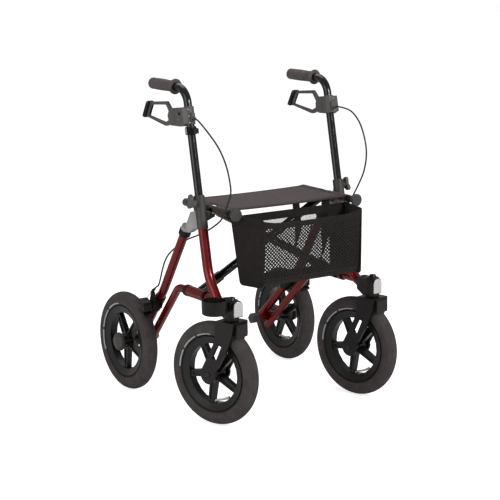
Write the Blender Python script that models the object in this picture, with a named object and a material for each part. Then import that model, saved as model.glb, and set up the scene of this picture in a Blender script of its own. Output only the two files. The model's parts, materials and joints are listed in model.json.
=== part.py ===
"""Outdoor rollator: a folding walking aid with four air-filled wheels, a sling seat and a basket.

Metres, +Z up. The front faces -Y and the user stands at +Y, so the user's right is -X.
The origin is on the floor, under the middle of the wheels. The casters stand swivelled,
as they were left after a turn, and every joint is at the value that the record calls zero.
"""

import math

import bmesh
import bpy
from mathutils import Matrix, Vector

# Driving dimensions of the whole

CLEARANCE = 0.0003
TURNING_CLEARANCE = 0.0008
FRAME_X = 0.2535
GRIP_HEIGHT = 0.955
SEAT_HEIGHT = 0.610
RAIL_HEIGHT = 0.358
SIDES = (("right", -1), ("left", 1))

# Wheels

WHEEL_RADIUS = 0.1525
TYRE_SECTION = 0.0237
TYRE_BEAD = 0.0460
BEAD_HALF_WIDTH = 0.0135
RIM_DEPTH = 0.0175
RIM_HALF_WIDTH = 0.0178
FLANGE_HEIGHT = 0.0038
SPOKES = 5
SPOKE_PHASE = {"front": math.radians(-10), "right": math.radians(122.5), "left": math.radians(5.5)}
SPOKE_ROOT = 0.0190
SPOKE_END_INSET = 0.0100
GROOVE_START = 0.0290
GROOVE_END = 0.0800
HUB_RIM = 0.0040
SPOKE_HUB_HALF = 0.0115
SPOKE_RIM_HALF = 0.0090
SPOKE_HALF_DEPTH = 0.0085
SPOKE_GROOVE_HALF = 0.0045
SPOKE_GROOVE_DEPTH = 0.0030
HUB_RADIUS = 0.0210
WHEEL_STEPS = 24

# Rear axles

REAR_WHEEL_X = FRAME_X + 0.0458
REAR_AXLE_Y = 0.2263
REAR_AXLE_RADIUS = 0.0060
REAR_HUB_INNER = 0.0355
REAR_HUB_OUTER = 0.0260
HUB_CAP_RADIUS = 0.0290
HUB_CAP_HEIGHT = 0.0187
BOSS_RADIUS = 0.0118
BOSS_INNER_X = FRAME_X - 0.0565
BOSS_OUTER_X = FRAME_X + 0.0090
KNOB_RADIUS = 0.0160
KNOB_LENGTH = 0.0220
NUT_RADIUS = 0.0100
NUT_LENGTH = 0.0050

# Casters

STEER_X = FRAME_X + 0.0034
STEER_Y = -0.2833
TRAIL = 0.0600
HEADING = {"right": math.radians(16.9), "left": math.radians(11.6)}
FORK_INNER = 0.0275
FORK_WALL = 0.0070
FORK_BOSS_RADIUS = 0.0285
FORK_BOSS_HEIGHT = 0.0020
FORK_TOP = 2 * WHEEL_RADIUS + 0.0115
CROWN_DEPTH = 0.0095
CROWN_FRONT = -0.0310
CROWN_BACK = 0.0330
BUMPER_FRONT = -0.0400
BUMPER_HALF_WIDTH = 0.0240
BUMPER_DROP = 0.0440
STEM_RADIUS = 0.0090
STEM_TOP = FORK_TOP + 0.0495
FRONT_AXLE_RADIUS = 0.0050
FRONT_HUB_HALF = 0.0268
HOUSING_RADIUS = 0.0210
HOUSING_BOTTOM = FORK_TOP + 0.0016
HOUSING_TOP = HOUSING_BOTTOM + 0.0579
HOUSING_STEPS = 16

# Tubes of the side frames

POST_RADIUS = 0.0120
POST_LEAN = math.radians(12.0)
POST_LINE_Y = -0.1224
POST_LINE_Z = 0.6000
POST_BOTTOM = 0.5600
POST_BEND = 0.0540
LEG_RADIUS = POST_RADIUS + 0.0025
LEG_TOP = 0.6000
LEG_BORE_BOTTOM = 0.4540
SOCKET_RADIUS = LEG_RADIUS + 0.0020
CLAMP_HEIGHT = 0.6340
CLAMP_FACE = SOCKET_RADIUS + 0.0025
LOBE_MEAN = 0.0180
LOBE_SWELL = 0.0065
LOBE_ANGLE = {"right": math.radians(72), "left": math.radians(95)}
KNOB_THICKNESS = 0.0110
LEG_BEND_Y = -0.2115
LEG_FOOT_BEND = 0.0500
FOOT_Y = -0.2480
FOOT_HEIGHT = HOUSING_BOTTOM + 0.0299
NECK_BACK = -0.2330
REAR_LEG_RADIUS = 0.0135
REAR_LEG_TOP = (-0.0457, 0.5480)
REAR_LEG_KINK_Z = 0.3350
RAIL_RADIUS = 0.0120
RAIL_INSET = 0.0045
RAIL_BEND = 0.0450
STEP = 0.0002
AXLE_INSET = 0.0235
TUBE_SPREAD = 0.0225
LOWER_SLOPE = math.radians(43.3)
TUBE_SIDES = 12

# Handles and brakes

GRIP_RADIUS = POST_RADIUS + 0.0045
GRIP_START = 0.0080
GRIP_END = 0.1400
GRIP_FLANGE = GRIP_RADIUS + 0.0065
LEVER_X = 0.0145
LEVER_HALF = 0.0038
LEVER_PIVOT = (-0.0400, 0.8700)
PAD_HALF_WIDTH = 0.0125
CABLE_RADIUS = 0.0025
WIRE_RADIUS = 0.0010
CABLE_SPACING = 0.0220
BRAKE_PIVOT_ANGLE = math.radians(50.0)
BRAKE_PIVOT_OUT = 0.0230
SHOE_ANGLE = math.radians(46.0)
SHOE_STOP_GAP = 0.0005
SHOE_REACH = math.radians(4.5)
SHOE_THICKNESS = 0.0065
BRAKE_TURN = math.radians(8.0)
ANCHOR_ANGLE = math.radians(58.0)
ANCHOR_OUT = 0.0190

# Folding cross and seat

SEAT_RAIL_X = FRAME_X - 0.0360
SEAT_RAIL_RADIUS = 0.0080
SEAT_RAIL_FRONT = -0.2440
TIP_RADIUS = SEAT_RAIL_RADIUS + 0.0110
ARM_RADIUS = 0.0125
ARM_Y = {"a": -0.0985, "b": -0.1270}
SLEEVE_RADIUS = 0.0162
SLEEVE_FRONT = -0.1435
SLEEVE_BACK = -0.0585
EYE_RADIUS = SEAT_RAIL_RADIUS + 0.0028
EYE_HALF = 0.0125
PIVOT_RADIUS = 0.0045
COLLAR_START = 0.0640
COLLAR_LENGTH = 0.0300
COLLAR_HEIGHT = 0.0030
SEAT_FRONT = -0.2130
SEAT_BACK = 0.0165
SEAT_RAIL_BACK = SEAT_BACK + 0.0020
SEAT_THICKNESS = 0.0035
SEAT_SAG = 0.0030
CRADLE_RADIUS = SEAT_RAIL_RADIUS + SEAT_THICKNESS + 0.0010

# Basket

BASKET_FRONT_X = SEAT_RAIL_X - 0.0415
BASKET_BACK_X = SEAT_RAIL_X - 0.0108
BASKET_FRONT_Y = -0.3250
BASKET_BACK_Y = -0.2070
BASKET_TOP = SEAT_HEIGHT - 0.0100
BASKET_BOTTOM = 0.4060
BOARD_THICKNESS = 0.0025
LOOP_FRONT = -0.2270
LOOP_WIDTH = 0.0120
NET_THICKNESS = 0.0018
NET_COLUMNS = 7
NET_ROWS = 5

# Walking-stick holder on the right side

CUP_CENTRE = (-STEER_X - 0.0601, STEER_Y - 0.0012)
CUP_RADIUS = 0.0360
CUP_WALL = 0.0025
CUP_BOTTOM = HOUSING_BOTTOM + 0.0249
CUP_TOP = CUP_BOTTOM + 0.0410
CLIP_HEIGHT = 0.8350
CLIP_LENGTH = 0.0225


# Making and joining shapes


def clear_scene():
    """Removes whatever the scene holds."""
    for obj in list(bpy.data.objects):
        bpy.data.objects.remove(obj)


def finish(name, colour, roughness, metallic=0.0):
    """A Principled material."""
    material = bpy.data.materials.new(name)
    material.use_nodes = True
    shader = material.node_tree.nodes["Principled BSDF"]
    shader.inputs["Base Color"].default_value = (*colour, 1.0)
    shader.inputs["Roughness"].default_value = roughness
    shader.inputs["Metallic"].default_value = metallic
    return material


def solid(name, shape, material, parent=None):
    """Links a closed shape as an object, its faces turned out and its round sides smooth."""
    bmesh.ops.recalc_face_normals(shape, faces=shape.faces)
    mesh = bpy.data.meshes.new(name)
    shape.to_mesh(mesh)
    shape.free()
    mesh.shade_smooth()
    mesh.set_sharp_from_angle(angle=math.radians(35))
    if material:
        mesh.materials.append(material)
    obj = bpy.data.objects.new(name, mesh)
    bpy.context.scene.collection.objects.link(obj)
    if parent:
        obj.parent = parent
    return obj


def helper(name, shape, parent=None):
    """A shape that only cuts or joins others."""
    obj = solid(name, shape, None, parent)
    obj.hide_render = True
    obj.display_type = "WIRE"
    return obj


def combine(obj, shape, operation):
    """Adds or cuts away a shape, which stays beside the object as a wire helper."""
    count = sum(modifier.type == "BOOLEAN" for modifier in obj.modifiers)
    tool = helper(f"{obj.name}-{operation.lower()}-{count}", shape, obj.parent)
    tool.location = obj.location
    tool.rotation_euler = obj.rotation_euler
    modifier = obj.modifiers.new(tool.name, "BOOLEAN")
    modifier.operation = operation
    modifier.solver = "EXACT"
    modifier.object = tool
    return obj


def add(obj, *shapes):
    """Fuses shapes to the object."""
    for shape in shapes:
        combine(obj, shape, "UNION")
    return obj


def cut(obj, *shapes):
    """Cuts shapes out of the object."""
    for shape in shapes:
        combine(obj, shape, "DIFFERENCE")
    return obj


def soften(obj, width, segments=2):
    """Rounds the sharp edges."""
    modifier = obj.modifiers.new("rounded edges", "BEVEL")
    modifier.width = width
    modifier.segments = segments
    modifier.limit_method = "ANGLE"
    modifier.angle_limit = math.radians(40)
    return obj


def pivot(name, place, parent=None, turn=0.0):
    """An empty on a joint's axis, which carries the pieces that move with it."""
    empty = bpy.data.objects.new(name, None)
    empty.empty_display_size = 0.02
    empty.location = place
    empty.rotation_euler = (0.0, 0.0, turn)
    bpy.context.scene.collection.objects.link(empty)
    empty.parent = parent
    return empty


def carried_by(obj, empty, place):
    """Hangs an object that is drawn in world coordinates under an empty that stands at a place."""
    obj.parent = empty
    obj.matrix_parent_inverse = Matrix.Translation(-Vector(place))
    for modifier in obj.modifiers:
        if modifier.type == "BOOLEAN":
            modifier.object.parent = empty
            modifier.object.matrix_parent_inverse = Matrix.Translation(-Vector(place))
    return obj


def square_to(axis):
    """Two directions square to an axis, the second one up where it can be."""
    axis = axis.normalized()
    up = Vector((0, 0, 1)) if abs(axis.z) < 0.9 else Vector((0, 1, 0))
    first = up.cross(axis).normalized()
    return first, axis.cross(first)


def ring(shape, centre, first, second, radius, sides):
    """One circle of vertices, or a single one for no radius."""
    if radius == 0:
        return [shape.verts.new(centre)]
    turns = [2 * math.pi * k / sides for k in range(sides)]
    return [
        shape.verts.new(centre + (first * math.cos(t) + second * math.sin(t)) * radius)
        for t in turns
    ]


def bridge(shape, low, high):
    """Joins two rings of vertices with faces."""
    if len(low) == 1 and len(high) == 1:
        return
    count = max(len(low), len(high))
    for k in range(count):
        following = (k + 1) % count
        corners = [low[k % len(low)], low[following % len(low)]]
        corners += [high[following % len(high)], high[k % len(high)]]
        shape.faces.new(list(dict.fromkeys(corners)))


def turned(profile, start, axis, steps=24):
    """A shape turned about an axis from (distance along, radius) points."""
    start = Vector(start)
    axis = Vector(axis).normalized()
    first, second = square_to(axis)
    shape = bmesh.new()
    rings = [
        ring(shape, start + axis * along, first, second, radius, steps)
        for along, radius in profile
    ]
    for low, high in zip(rings, rings[1:]):
        bridge(shape, low, high)
    if profile[0][1] != 0:
        bridge(shape, rings[-1], rings[0])
    return shape


def rod(start, end, radius, sides=TUBE_SIDES):
    """A round bar between two points."""
    start = Vector(start)
    along = Vector(end) - start
    length = along.length
    return turned([(0, 0), (0, radius), (length, radius), (length, 0)], start, along, sides)


def ring_bar(start, end, inner, outer, sides=TUBE_SIDES):
    """A round tube between two points."""
    start = Vector(start)
    along = Vector(end) - start
    length = along.length
    profile = [(0, inner), (0, outer), (length, outer), (length, inner)]
    return turned(profile, start, along, sides)


def swept(points, radii, sides=TUBE_SIDES):
    """A round bar along a path, with one radius or one for each point."""
    points = [Vector(point) for point in points]
    if isinstance(radii, float):
        radii = [radii] * len(points)
    shape = bmesh.new()
    rings = []
    first = square_to(points[1] - points[0])[0]
    for k, (point, radius) in enumerate(zip(points, radii)):
        along = (points[min(k + 1, len(points) - 1)] - points[max(k - 1, 0)]).normalized()
        first = (first - along * first.dot(along)).normalized()
        rings.append(ring(shape, point, first, along.cross(first), radius, sides))
    for low, high in zip(rings, rings[1:]):
        bridge(shape, low, high)
    shape.faces.new(list(reversed(rings[0])))
    shape.faces.new(rings[-1])
    return shape


def prism(outline, low, high, place):
    """An outline drawn flat and extruded; place turns (across, up, depth) into a point."""
    shape = bmesh.new()
    ends = [[shape.verts.new(place(u, v, depth)) for u, v in outline] for depth in (low, high)]
    bridge(shape, *ends)
    for end in ends:
        shape.faces.new(end)
    return shape


def side_plate(outline, low_x, high_x, side=1):
    """An outline of (y, z) points, extruded across from one x to another."""
    return prism(outline, low_x, high_x, lambda y, z, x: Vector((side * x, y, z)))


def block(low, high):
    """A box between two corners."""
    outline = [(low[1], low[2]), (high[1], low[2]), (high[1], high[2]), (low[1], high[2])]
    return side_plate(outline, low[0], high[0])


def filleted(points, radius, segments=6):
    """A path whose inner corners are arcs of one radius."""
    points = [Vector(point) for point in points]
    path = [points[0]]
    for before, corner, after in zip(points, points[1:], points[2:]):
        into = (corner - before).normalized()
        out = (after - corner).normalized()
        turn = into.angle(out)
        if turn < 1e-4:
            continue
        centre = corner + (out - into).normalized() * radius / math.cos(turn / 2)
        reach = radius * math.tan(turn / 2)
        start = (corner - into * reach - centre).normalized()
        end = (corner + out * reach - centre).normalized()
        for k in range(segments + 1):
            path.append(centre + start.slerp(end, k / segments) * radius)
    return path + [points[-1]]


def rounded_outline(points, radius, segments=4):
    """A closed flat outline whose corners are arcs; a radius may differ at each corner."""
    radii = radius if isinstance(radius, (list, tuple)) else [radius] * len(points)
    outline = []
    for k, corner in enumerate(points):
        before = Vector(points[k - 1])
        after = Vector(points[(k + 1) % len(points)])
        corner = Vector(corner)
        path = [(*before, 0.0), (*corner, 0.0), (*after, 0.0)]
        outline += [(p.x, p.y) for p in filleted(path, radii[k], segments)[1:-1]]
    return outline


def smooth_path(route, spacing):
    """Points at a steady spacing on a smooth curve through the route's own points."""
    route = [Vector(point) for point in route]
    ends = [route[0] * 2 - route[1]] + route + [route[-1] * 2 - route[-2]]
    dense = []
    for a, b, c, d in zip(ends, ends[1:], ends[2:], ends[3:]):
        for k in range(24):
            t = k / 24
            dense.append(
                0.5 * (2 * b + (c - a) * t + (2 * a - 5 * b + 4 * c - d) * t**2
                       + (3 * b - 3 * c + d - a) * t**3)
            )
    dense.append(route[-1])
    path = [dense[0]]
    travelled = 0.0
    for before, after in zip(dense, dense[1:]):
        travelled += (after - before).length
        if travelled >= spacing:
            path.append(after)
            travelled = 0.0
    if (path[-1] - dense[-1]).length < spacing / 2:
        path.pop()
    return path + [dense[-1]]


# Places worked out from the driving dimensions


def post_point(z, side):
    """The point of the handle post's straight line at a height."""
    return Vector((side * FRAME_X, POST_LINE_Y + (z - POST_LINE_Z) * math.tan(POST_LEAN), z))


def post_axis():
    """The direction in which the handle post slides."""
    return Vector((0.0, math.sin(POST_LEAN), math.cos(POST_LEAN)))


def lower_slope():
    """The direction in which the two lower tubes run down to the rear axle, flat in y and z."""
    return Vector((0.0, math.sin(LOWER_SLOPE), -math.cos(LOWER_SLOPE)))


def beside_axle(side, offset, beyond):
    """A point beside the rear axle: offset square to the lower tubes, beyond along them."""
    down = lower_slope()
    across = Vector((0.0, -down.z, down.y))
    axle = Vector((side * (FRAME_X - AXLE_INSET), REAR_AXLE_Y, WHEEL_RADIUS))
    return axle + across * offset + down * beyond


def rear_leg_path(side):
    """The centre line of the rear leg, from its top to just past the axle."""
    top = Vector((side * FRAME_X, *REAR_LEG_TOP))
    end = beside_axle(side, TUBE_SPREAD, 0.020)
    rise = REAR_LEG_KINK_Z - end.z
    kink_y = end.y - rise * math.tan(LOWER_SLOPE)
    kink = Vector((side * FRAME_X, kink_y, REAR_LEG_KINK_Z))
    return filleted([top, kink, end], 0.18, 4)


def lower_rail_path(side):
    """The centre line of the lower rail, from inside the front leg to just past the axle."""
    front = Vector((side * FRAME_X, leg_depth(RAIL_HEIGHT) + RAIL_INSET, RAIL_HEIGHT))
    end = beside_axle(side, -TUBE_SPREAD, 0.020)
    drop = RAIL_HEIGHT - end.z
    corner = Vector((side * FRAME_X, end.y - drop * math.tan(LOWER_SLOPE), RAIL_HEIGHT))
    return filleted([front, corner, end], RAIL_BEND, 5)


def front_leg_path(side):
    """The centre line of the front leg, straight under the post and then curving forward."""
    top = post_point(LEG_TOP, side)
    knee = post_point(0.4200, side)
    low = Vector((side * FRAME_X, LEG_BEND_Y, FOOT_HEIGHT + 0.0055))
    foot = Vector((side * FRAME_X, FOOT_Y, FOOT_HEIGHT))
    bends = filleted([top, knee, low], 0.150, 5)[:-1]
    return bends + filleted([knee, low, foot], LEG_FOOT_BEND, 3)[1:]


def leg_depth(z):
    """The y at which the front leg's centre line passes a height."""
    path = front_leg_path(1)
    for above, below in zip(path, path[1:]):
        if below.z <= z <= above.z:
            share = (above.z - z) / (above.z - below.z)
            return above.y + (below.y - above.y) * share
    return path[-1].y


def leg_bore(side):
    """The room that other pieces leave for the front leg."""
    path = front_leg_path(side)
    path[-1] += (path[-1] - path[-2]).normalized() * CLEARANCE
    return swept(path, LEG_RADIUS + CLEARANCE)


def cross_pivot_height():
    """The height at which the two arms of the cross meet over the middle."""
    share = FRAME_X / (FRAME_X + SEAT_RAIL_X)
    return RAIL_HEIGHT + (SEAT_HEIGHT - RAIL_HEIGHT) * share


def around_axle(angle, radius, x):
    """A point over the front of a rear wheel: angle up from the floor, radius from the axle."""
    y = REAR_AXLE_Y - radius * math.cos(angle)
    return Vector((x, y, WHEEL_RADIUS + radius * math.sin(angle)))


def brake_pivot_point(side):
    """The brake arm's pivot, over the rear tyre's front."""
    return around_axle(BRAKE_PIVOT_ANGLE, WHEEL_RADIUS + BRAKE_PIVOT_OUT, side * REAR_WHEEL_X)


# Materials


def make_finishes():
    """Every finish, by name."""
    return {
        "red": finish("red_frame", (0.30, 0.015, 0.02), 0.25, 0.85),
        "black": finish("black_tube", (0.02, 0.02, 0.022), 0.30, 0.6),
        "plastic": finish("black_plastic", (0.025, 0.025, 0.027), 0.5),
        "dark_grey": finish("dark_grey_plastic", (0.07, 0.07, 0.075), 0.5),
        "light_grey": finish("light_grey_plastic", (0.33, 0.34, 0.34), 0.5),
        "grip": finish("grip_rubber", (0.07, 0.06, 0.06), 0.75),
        "tyre": finish("tyre_rubber", (0.035, 0.034, 0.035), 0.8),
        "steel": finish("bright_steel", (0.6, 0.6, 0.62), 0.3, 1.0),
        "cable": finish("cable_jacket", (0.015, 0.015, 0.015), 0.5),
        "clear": finish("reflector_lens", (0.8, 0.8, 0.8), 0.15),
        "seat": finish("seat_cloth", (0.08, 0.065, 0.065), 0.85),
        "basket": finish("basket_cloth", (0.02, 0.019, 0.018), 0.85),
    }


# Wheels, drawn about their own centre with the outer side at +X


def tyre_shape():
    """An air-filled tyre with its two beads."""
    middle = WHEEL_RADIUS - TYRE_SECTION
    bead = WHEEL_RADIUS - TYRE_BEAD
    profile = [(-BEAD_HALF_WIDTH, bead), (-BEAD_HALF_WIDTH - 0.0005, bead + 0.0040)]
    low, high = math.radians(-43), math.radians(223)
    arc = 7
    for k in range(arc):
        angle = high + (low - high) * k / (arc - 1)
        across = TYRE_SECTION * math.cos(angle)
        profile.append((across, middle + TYRE_SECTION * math.sin(angle)))
    profile += [(BEAD_HALF_WIDTH + 0.0005, bead + 0.0040), (BEAD_HALF_WIDTH, bead)]
    return turned(profile, (0, 0, 0), (1, 0, 0), WHEEL_STEPS)


def rim_shape():
    """The rim's ring, with a low flange at each side of the tyre's beads."""
    seat = WHEEL_RADIUS - TYRE_BEAD - CLEARANCE
    inner = seat - RIM_DEPTH
    lip = BEAD_HALF_WIDTH + 0.0005 + CLEARANCE
    half = [
        (lip, seat),
        (RIM_HALF_WIDTH, seat + FLANGE_HEIGHT),
        (RIM_HALF_WIDTH - 0.0055, inner),
    ]
    profile = half + [(-x, r) for x, r in reversed(half)]
    return turned(profile, (0, 0, 0), (1, 0, 0), WHEEL_STEPS)


def spoke_star(phase):
    """The five spokes and their root as one flat star."""
    rim = WHEEL_RADIUS - TYRE_BEAD - SPOKE_END_INSET
    outline = []
    for k in range(SPOKES):
        angle = phase + 2 * math.pi * k / SPOKES
        along = Vector((math.cos(angle), math.sin(angle)))
        across = Vector((-along.y, along.x))
        outline += [
            along * SPOKE_ROOT - across * SPOKE_HUB_HALF,
            along * rim - across * SPOKE_RIM_HALF,
            along * rim + across * SPOKE_RIM_HALF,
            along * SPOKE_ROOT + across * SPOKE_HUB_HALF,
        ]
    return side_plate([tuple(point) for point in outline], -SPOKE_HALF_DEPTH, SPOKE_HALF_DEPTH)


def spoke_grooves(phase):
    """The shallow channels that leave a rib along each edge of a spoke, on both faces."""
    shape = bmesh.new()
    floor = SPOKE_HALF_DEPTH - SPOKE_GROOVE_DEPTH
    for k in range(SPOKES):
        angle = phase + 2 * math.pi * k / SPOKES
        along = Vector((0, math.cos(angle), math.sin(angle)))
        across = Vector((0, -along.z, along.y))
        for face in (-1, 1):
            corners = []
            for x in (floor, SPOKE_HALF_DEPTH + 0.002):
                for r, w in ((GROOVE_START, -1), (GROOVE_END, -1), (GROOVE_END, 1), (GROOVE_START, 1)):
                    place = along * r + across * w * SPOKE_GROOVE_HALF
                    corners.append(shape.verts.new(place + Vector((face * x, 0, 0))))
            bridge(shape, corners[:4], corners[4:])
            shape.faces.new(corners[:4])
            shape.faces.new(corners[4:])
    return shape


def wheel(name, phase, hubs, bore, material, parent):
    """A moulded wheel: rim, spokes from a starting angle and a hub of its own lengths."""
    obj = solid(name, rim_shape(), material, parent)
    inner, outer = hubs
    length = inner + outer
    face = HUB_RADIUS - HUB_RIM
    hub = [(0, 0), (0, face), (HUB_RIM, HUB_RADIUS)]
    hub += [(length - HUB_RIM, HUB_RADIUS), (length, face), (length, 0)]
    add(obj, spoke_star(phase), turned(hub, (-inner, 0, 0), (1, 0, 0), 14))
    cut(obj, spoke_grooves(phase), rod((-inner - 0.01, 0, 0), (outer + 0.01, 0, 0), bore, 12))
    return obj


def rear_wheel_set(name, side, finishes):
    """A rear wheel with its tyre and domed hub cap, turning on the axle."""
    place = (side * REAR_WHEEL_X, REAR_AXLE_Y, WHEEL_RADIUS)
    turn = 0.0 if side > 0 else math.pi
    carrier = pivot(f"rear_wheel_axis_{name}", place, None, turn)
    bore = REAR_AXLE_RADIUS + CLEARANCE
    hubs = (REAR_HUB_INNER, REAR_HUB_OUTER)
    wheel(f"rear_wheel_{name}", SPOKE_PHASE[name], hubs, bore, finishes["plastic"], carrier)
    solid(f"rear_tyre_{name}", tyre_shape(), finishes["tyre"], carrier)
    base = REAR_HUB_OUTER + CLEARANCE
    dome = [(0, 0), (0, HUB_CAP_RADIUS - 0.002), (0.003, HUB_CAP_RADIUS)]
    for k in range(1, 5):
        angle = math.radians(90 * k / 4)
        rise = 0.007 + (HUB_CAP_HEIGHT - 0.007) * math.sin(angle)
        dome.append((rise, HUB_CAP_RADIUS * math.cos(angle) if k < 4 else 0))
    solid(f"hub_cap_{name}", turned(dome, (base, 0, 0), (1, 0, 0), 20), finishes["plastic"], carrier)


def rear_axle(name, side, finishes):
    """The axle: its inner end has a star knob on the left and a flat nut on the right."""
    end = REAR_WHEEL_X + REAR_HUB_OUTER - 0.0020
    centre = (REAR_AXLE_Y, WHEEL_RADIUS)
    if name == "right":
        face = BOSS_INNER_X - CLEARANCE
        profile = [(0, 0), (0, NUT_RADIUS - 0.002), (0.0015, NUT_RADIUS), (NUT_LENGTH, NUT_RADIUS)]
        profile += [(NUT_LENGTH, REAR_AXLE_RADIUS), (end - face + NUT_LENGTH, REAR_AXLE_RADIUS)]
        profile += [(end - face + NUT_LENGTH, 0)]
        nut = turned(profile, (side * (face - NUT_LENGTH), *centre), (side, 0, 0), TUBE_SIDES)
        return solid(f"rear_axle_{name}", nut, finishes["steel"])
    knob_start = BOSS_INNER_X - 0.0100 - KNOB_LENGTH
    outline = []
    for k in range(20):
        angle = 2 * math.pi * k / 20
        radius = KNOB_RADIUS * (1 + 0.09 * math.cos(5 * angle))
        outline.append((REAR_AXLE_Y + radius * math.cos(angle), WHEEL_RADIUS + radius * math.sin(angle)))
    star = side_plate(outline, knob_start, knob_start + KNOB_LENGTH, side)
    obj = solid(f"rear_axle_{name}", star, finishes["steel"])
    neck = rod((side * (knob_start + 0.01), *centre), (side * (BOSS_INNER_X - CLEARANCE), *centre), 0.0100)
    shaft = rod((side * (knob_start + 0.02), *centre), (side * end, *centre), REAR_AXLE_RADIUS)
    return add(obj, neck, shaft)


# Casters, drawn about the steering axis with the front at -Y


def fork_outline():
    """The side view of the fork, from the crown down to the axle bosses."""
    return [
        (CROWN_FRONT, FORK_TOP),
        (CROWN_BACK, FORK_TOP),
        (CROWN_BACK + 0.0020, FORK_TOP - 0.0465),
        (CROWN_BACK + 0.0090, FORK_TOP - 0.0725),
        (TRAIL + 0.0265, WHEEL_RADIUS + 0.0100),
        (TRAIL, WHEEL_RADIUS - 0.0100),
        (TRAIL - 0.0265, WHEEL_RADIUS + 0.0060),
        (-0.0140, FORK_TOP - 0.0725),
        (CROWN_FRONT + 0.0030, FORK_TOP - 0.0330),
        (CROWN_FRONT, FORK_TOP - CROWN_DEPTH),
    ]


def fork_window():
    """The slot through a fork blade."""
    high, low = FORK_TOP - 0.0645, WHEEL_RADIUS + 0.0485
    corners = [(0.0065, high + 0.0020), (0.0215, high - 0.0020)]
    corners += [(0.0460, low + 0.0020), (0.0310, low - 0.0020)]
    return rounded_outline(corners, 0.0035, 2)


def bumper_outline():
    """The side view of the lug in front of the crown."""
    return [
        (CROWN_FRONT + 0.0060, FORK_TOP - 0.0008),
        (BUMPER_FRONT + 0.0070, FORK_TOP - 0.0014),
        (BUMPER_FRONT + 0.0010, FORK_TOP - 0.0070),
        (BUMPER_FRONT, FORK_TOP - 0.0360),
        (BUMPER_FRONT + 0.0015, FORK_TOP - BUMPER_DROP),
        (BUMPER_FRONT + 0.0060, FORK_TOP - BUMPER_DROP + 0.0035),
        (BUMPER_FRONT + 0.0130, FORK_TOP - BUMPER_DROP + 0.0130),
        (CROWN_FRONT + 0.0060, FORK_TOP - 0.0085),
    ]


def fork_shape(name, finishes, carrier):
    """The fork: crown, two slotted blades with round axle bosses, front bumper and stem."""
    outer = FORK_INNER + FORK_WALL
    reach = outer + 0.02
    obj = solid(f"fork_{name}", side_plate(fork_outline(), -outer, outer), finishes["plastic"], carrier)
    under = FORK_TOP - CROWN_DEPTH
    cut(obj, block((-FORK_INNER, -0.10, 0.10), (FORK_INNER, 0.15, under)))
    for face in (-1, 1):
        boss = [(0, 0), (0, FORK_BOSS_RADIUS), (FORK_WALL, FORK_BOSS_RADIUS)]
        boss += [(FORK_WALL + FORK_BOSS_HEIGHT, FORK_BOSS_RADIUS - 0.003)]
        boss += [(FORK_WALL + FORK_BOSS_HEIGHT, 0)]
        shift = CLEARANCE
        boss = [(max(along - shift, 0.0), radius) for along, radius in boss]
        centre = (face * (FORK_INNER + shift), TRAIL, WHEEL_RADIUS)
        add(obj, turned(boss, centre, (face, 0, 0), 16))
    add(obj, side_plate(bumper_outline(), -BUMPER_HALF_WIDTH, BUMPER_HALF_WIDTH))
    cut(obj, side_plate(fork_window(), -reach, reach))
    across = ((-reach, TRAIL, WHEEL_RADIUS), (reach, TRAIL, WHEEL_RADIUS))
    cut(obj, rod(*across, FRONT_AXLE_RADIUS + CLEARANCE, 12))
    washer_top = HOUSING_BOTTOM - CLEARANCE
    post = [(0, 0), (0, 0.0160), (washer_top - FORK_TOP + 0.004, 0.0160)]
    post += [(washer_top - FORK_TOP + 0.004, STEM_RADIUS), (STEM_TOP - FORK_TOP + 0.004, STEM_RADIUS)]
    post += [(STEM_TOP - FORK_TOP + 0.004, 0)]
    return add(obj, turned(post, (0, 0, FORK_TOP - 0.004), (0, 0, 1), TUBE_SIDES))


def front_axle_shape(name, finishes, carrier):
    """The bolt through the fork and the wheel, with a low head at each end."""
    face = FORK_INNER + FORK_WALL + FORK_BOSS_HEIGHT + CLEARANCE
    head = 0.0030
    profile = [(0, 0), (0, 0.0060), (0.0010, 0.0080), (head, 0.0080), (head, FRONT_AXLE_RADIUS)]
    far = 2 * face + head
    profile += [(far, FRONT_AXLE_RADIUS), (far, 0.0080), (far + head - 0.0010, 0.0080)]
    profile += [(far + head, 0.0060), (far + head, 0)]
    start = (-face - head, TRAIL, WHEEL_RADIUS)
    solid(f"front_axle_{name}", turned(profile, start, (1, 0, 0), 10), finishes["steel"], carrier)


def caster(name, side, finishes):
    """The swivelling fork with its wheel, turned to where the photograph shows it."""
    swivel = pivot(f"swivel_{name}", (side * STEER_X, STEER_Y, 0.0), None, HEADING[name])
    fork_shape(name, finishes, swivel)
    front_axle_shape(name, finishes, swivel)
    carrier = pivot(f"front_wheel_axis_{name}", (0.0, TRAIL, WHEEL_RADIUS), swivel)
    bore = FRONT_AXLE_RADIUS + CLEARANCE
    hubs = (FRONT_HUB_HALF, FRONT_HUB_HALF)
    wheel(f"front_wheel_{name}", SPOKE_PHASE["front"], hubs, bore, finishes["plastic"], carrier)
    solid(f"front_tyre_{name}", tyre_shape(), finishes["tyre"], carrier)


def arch_outline(width, low, high, segments=6):
    """A flat outline with a straight foot and a half-round top."""
    half = width / 2
    outline = [(-half, low), (half, low)]
    for k in range(segments + 1):
        angle = math.pi * k / segments
        outline.append((half * math.cos(angle), high - half + half * math.sin(angle)))
    return outline


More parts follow.
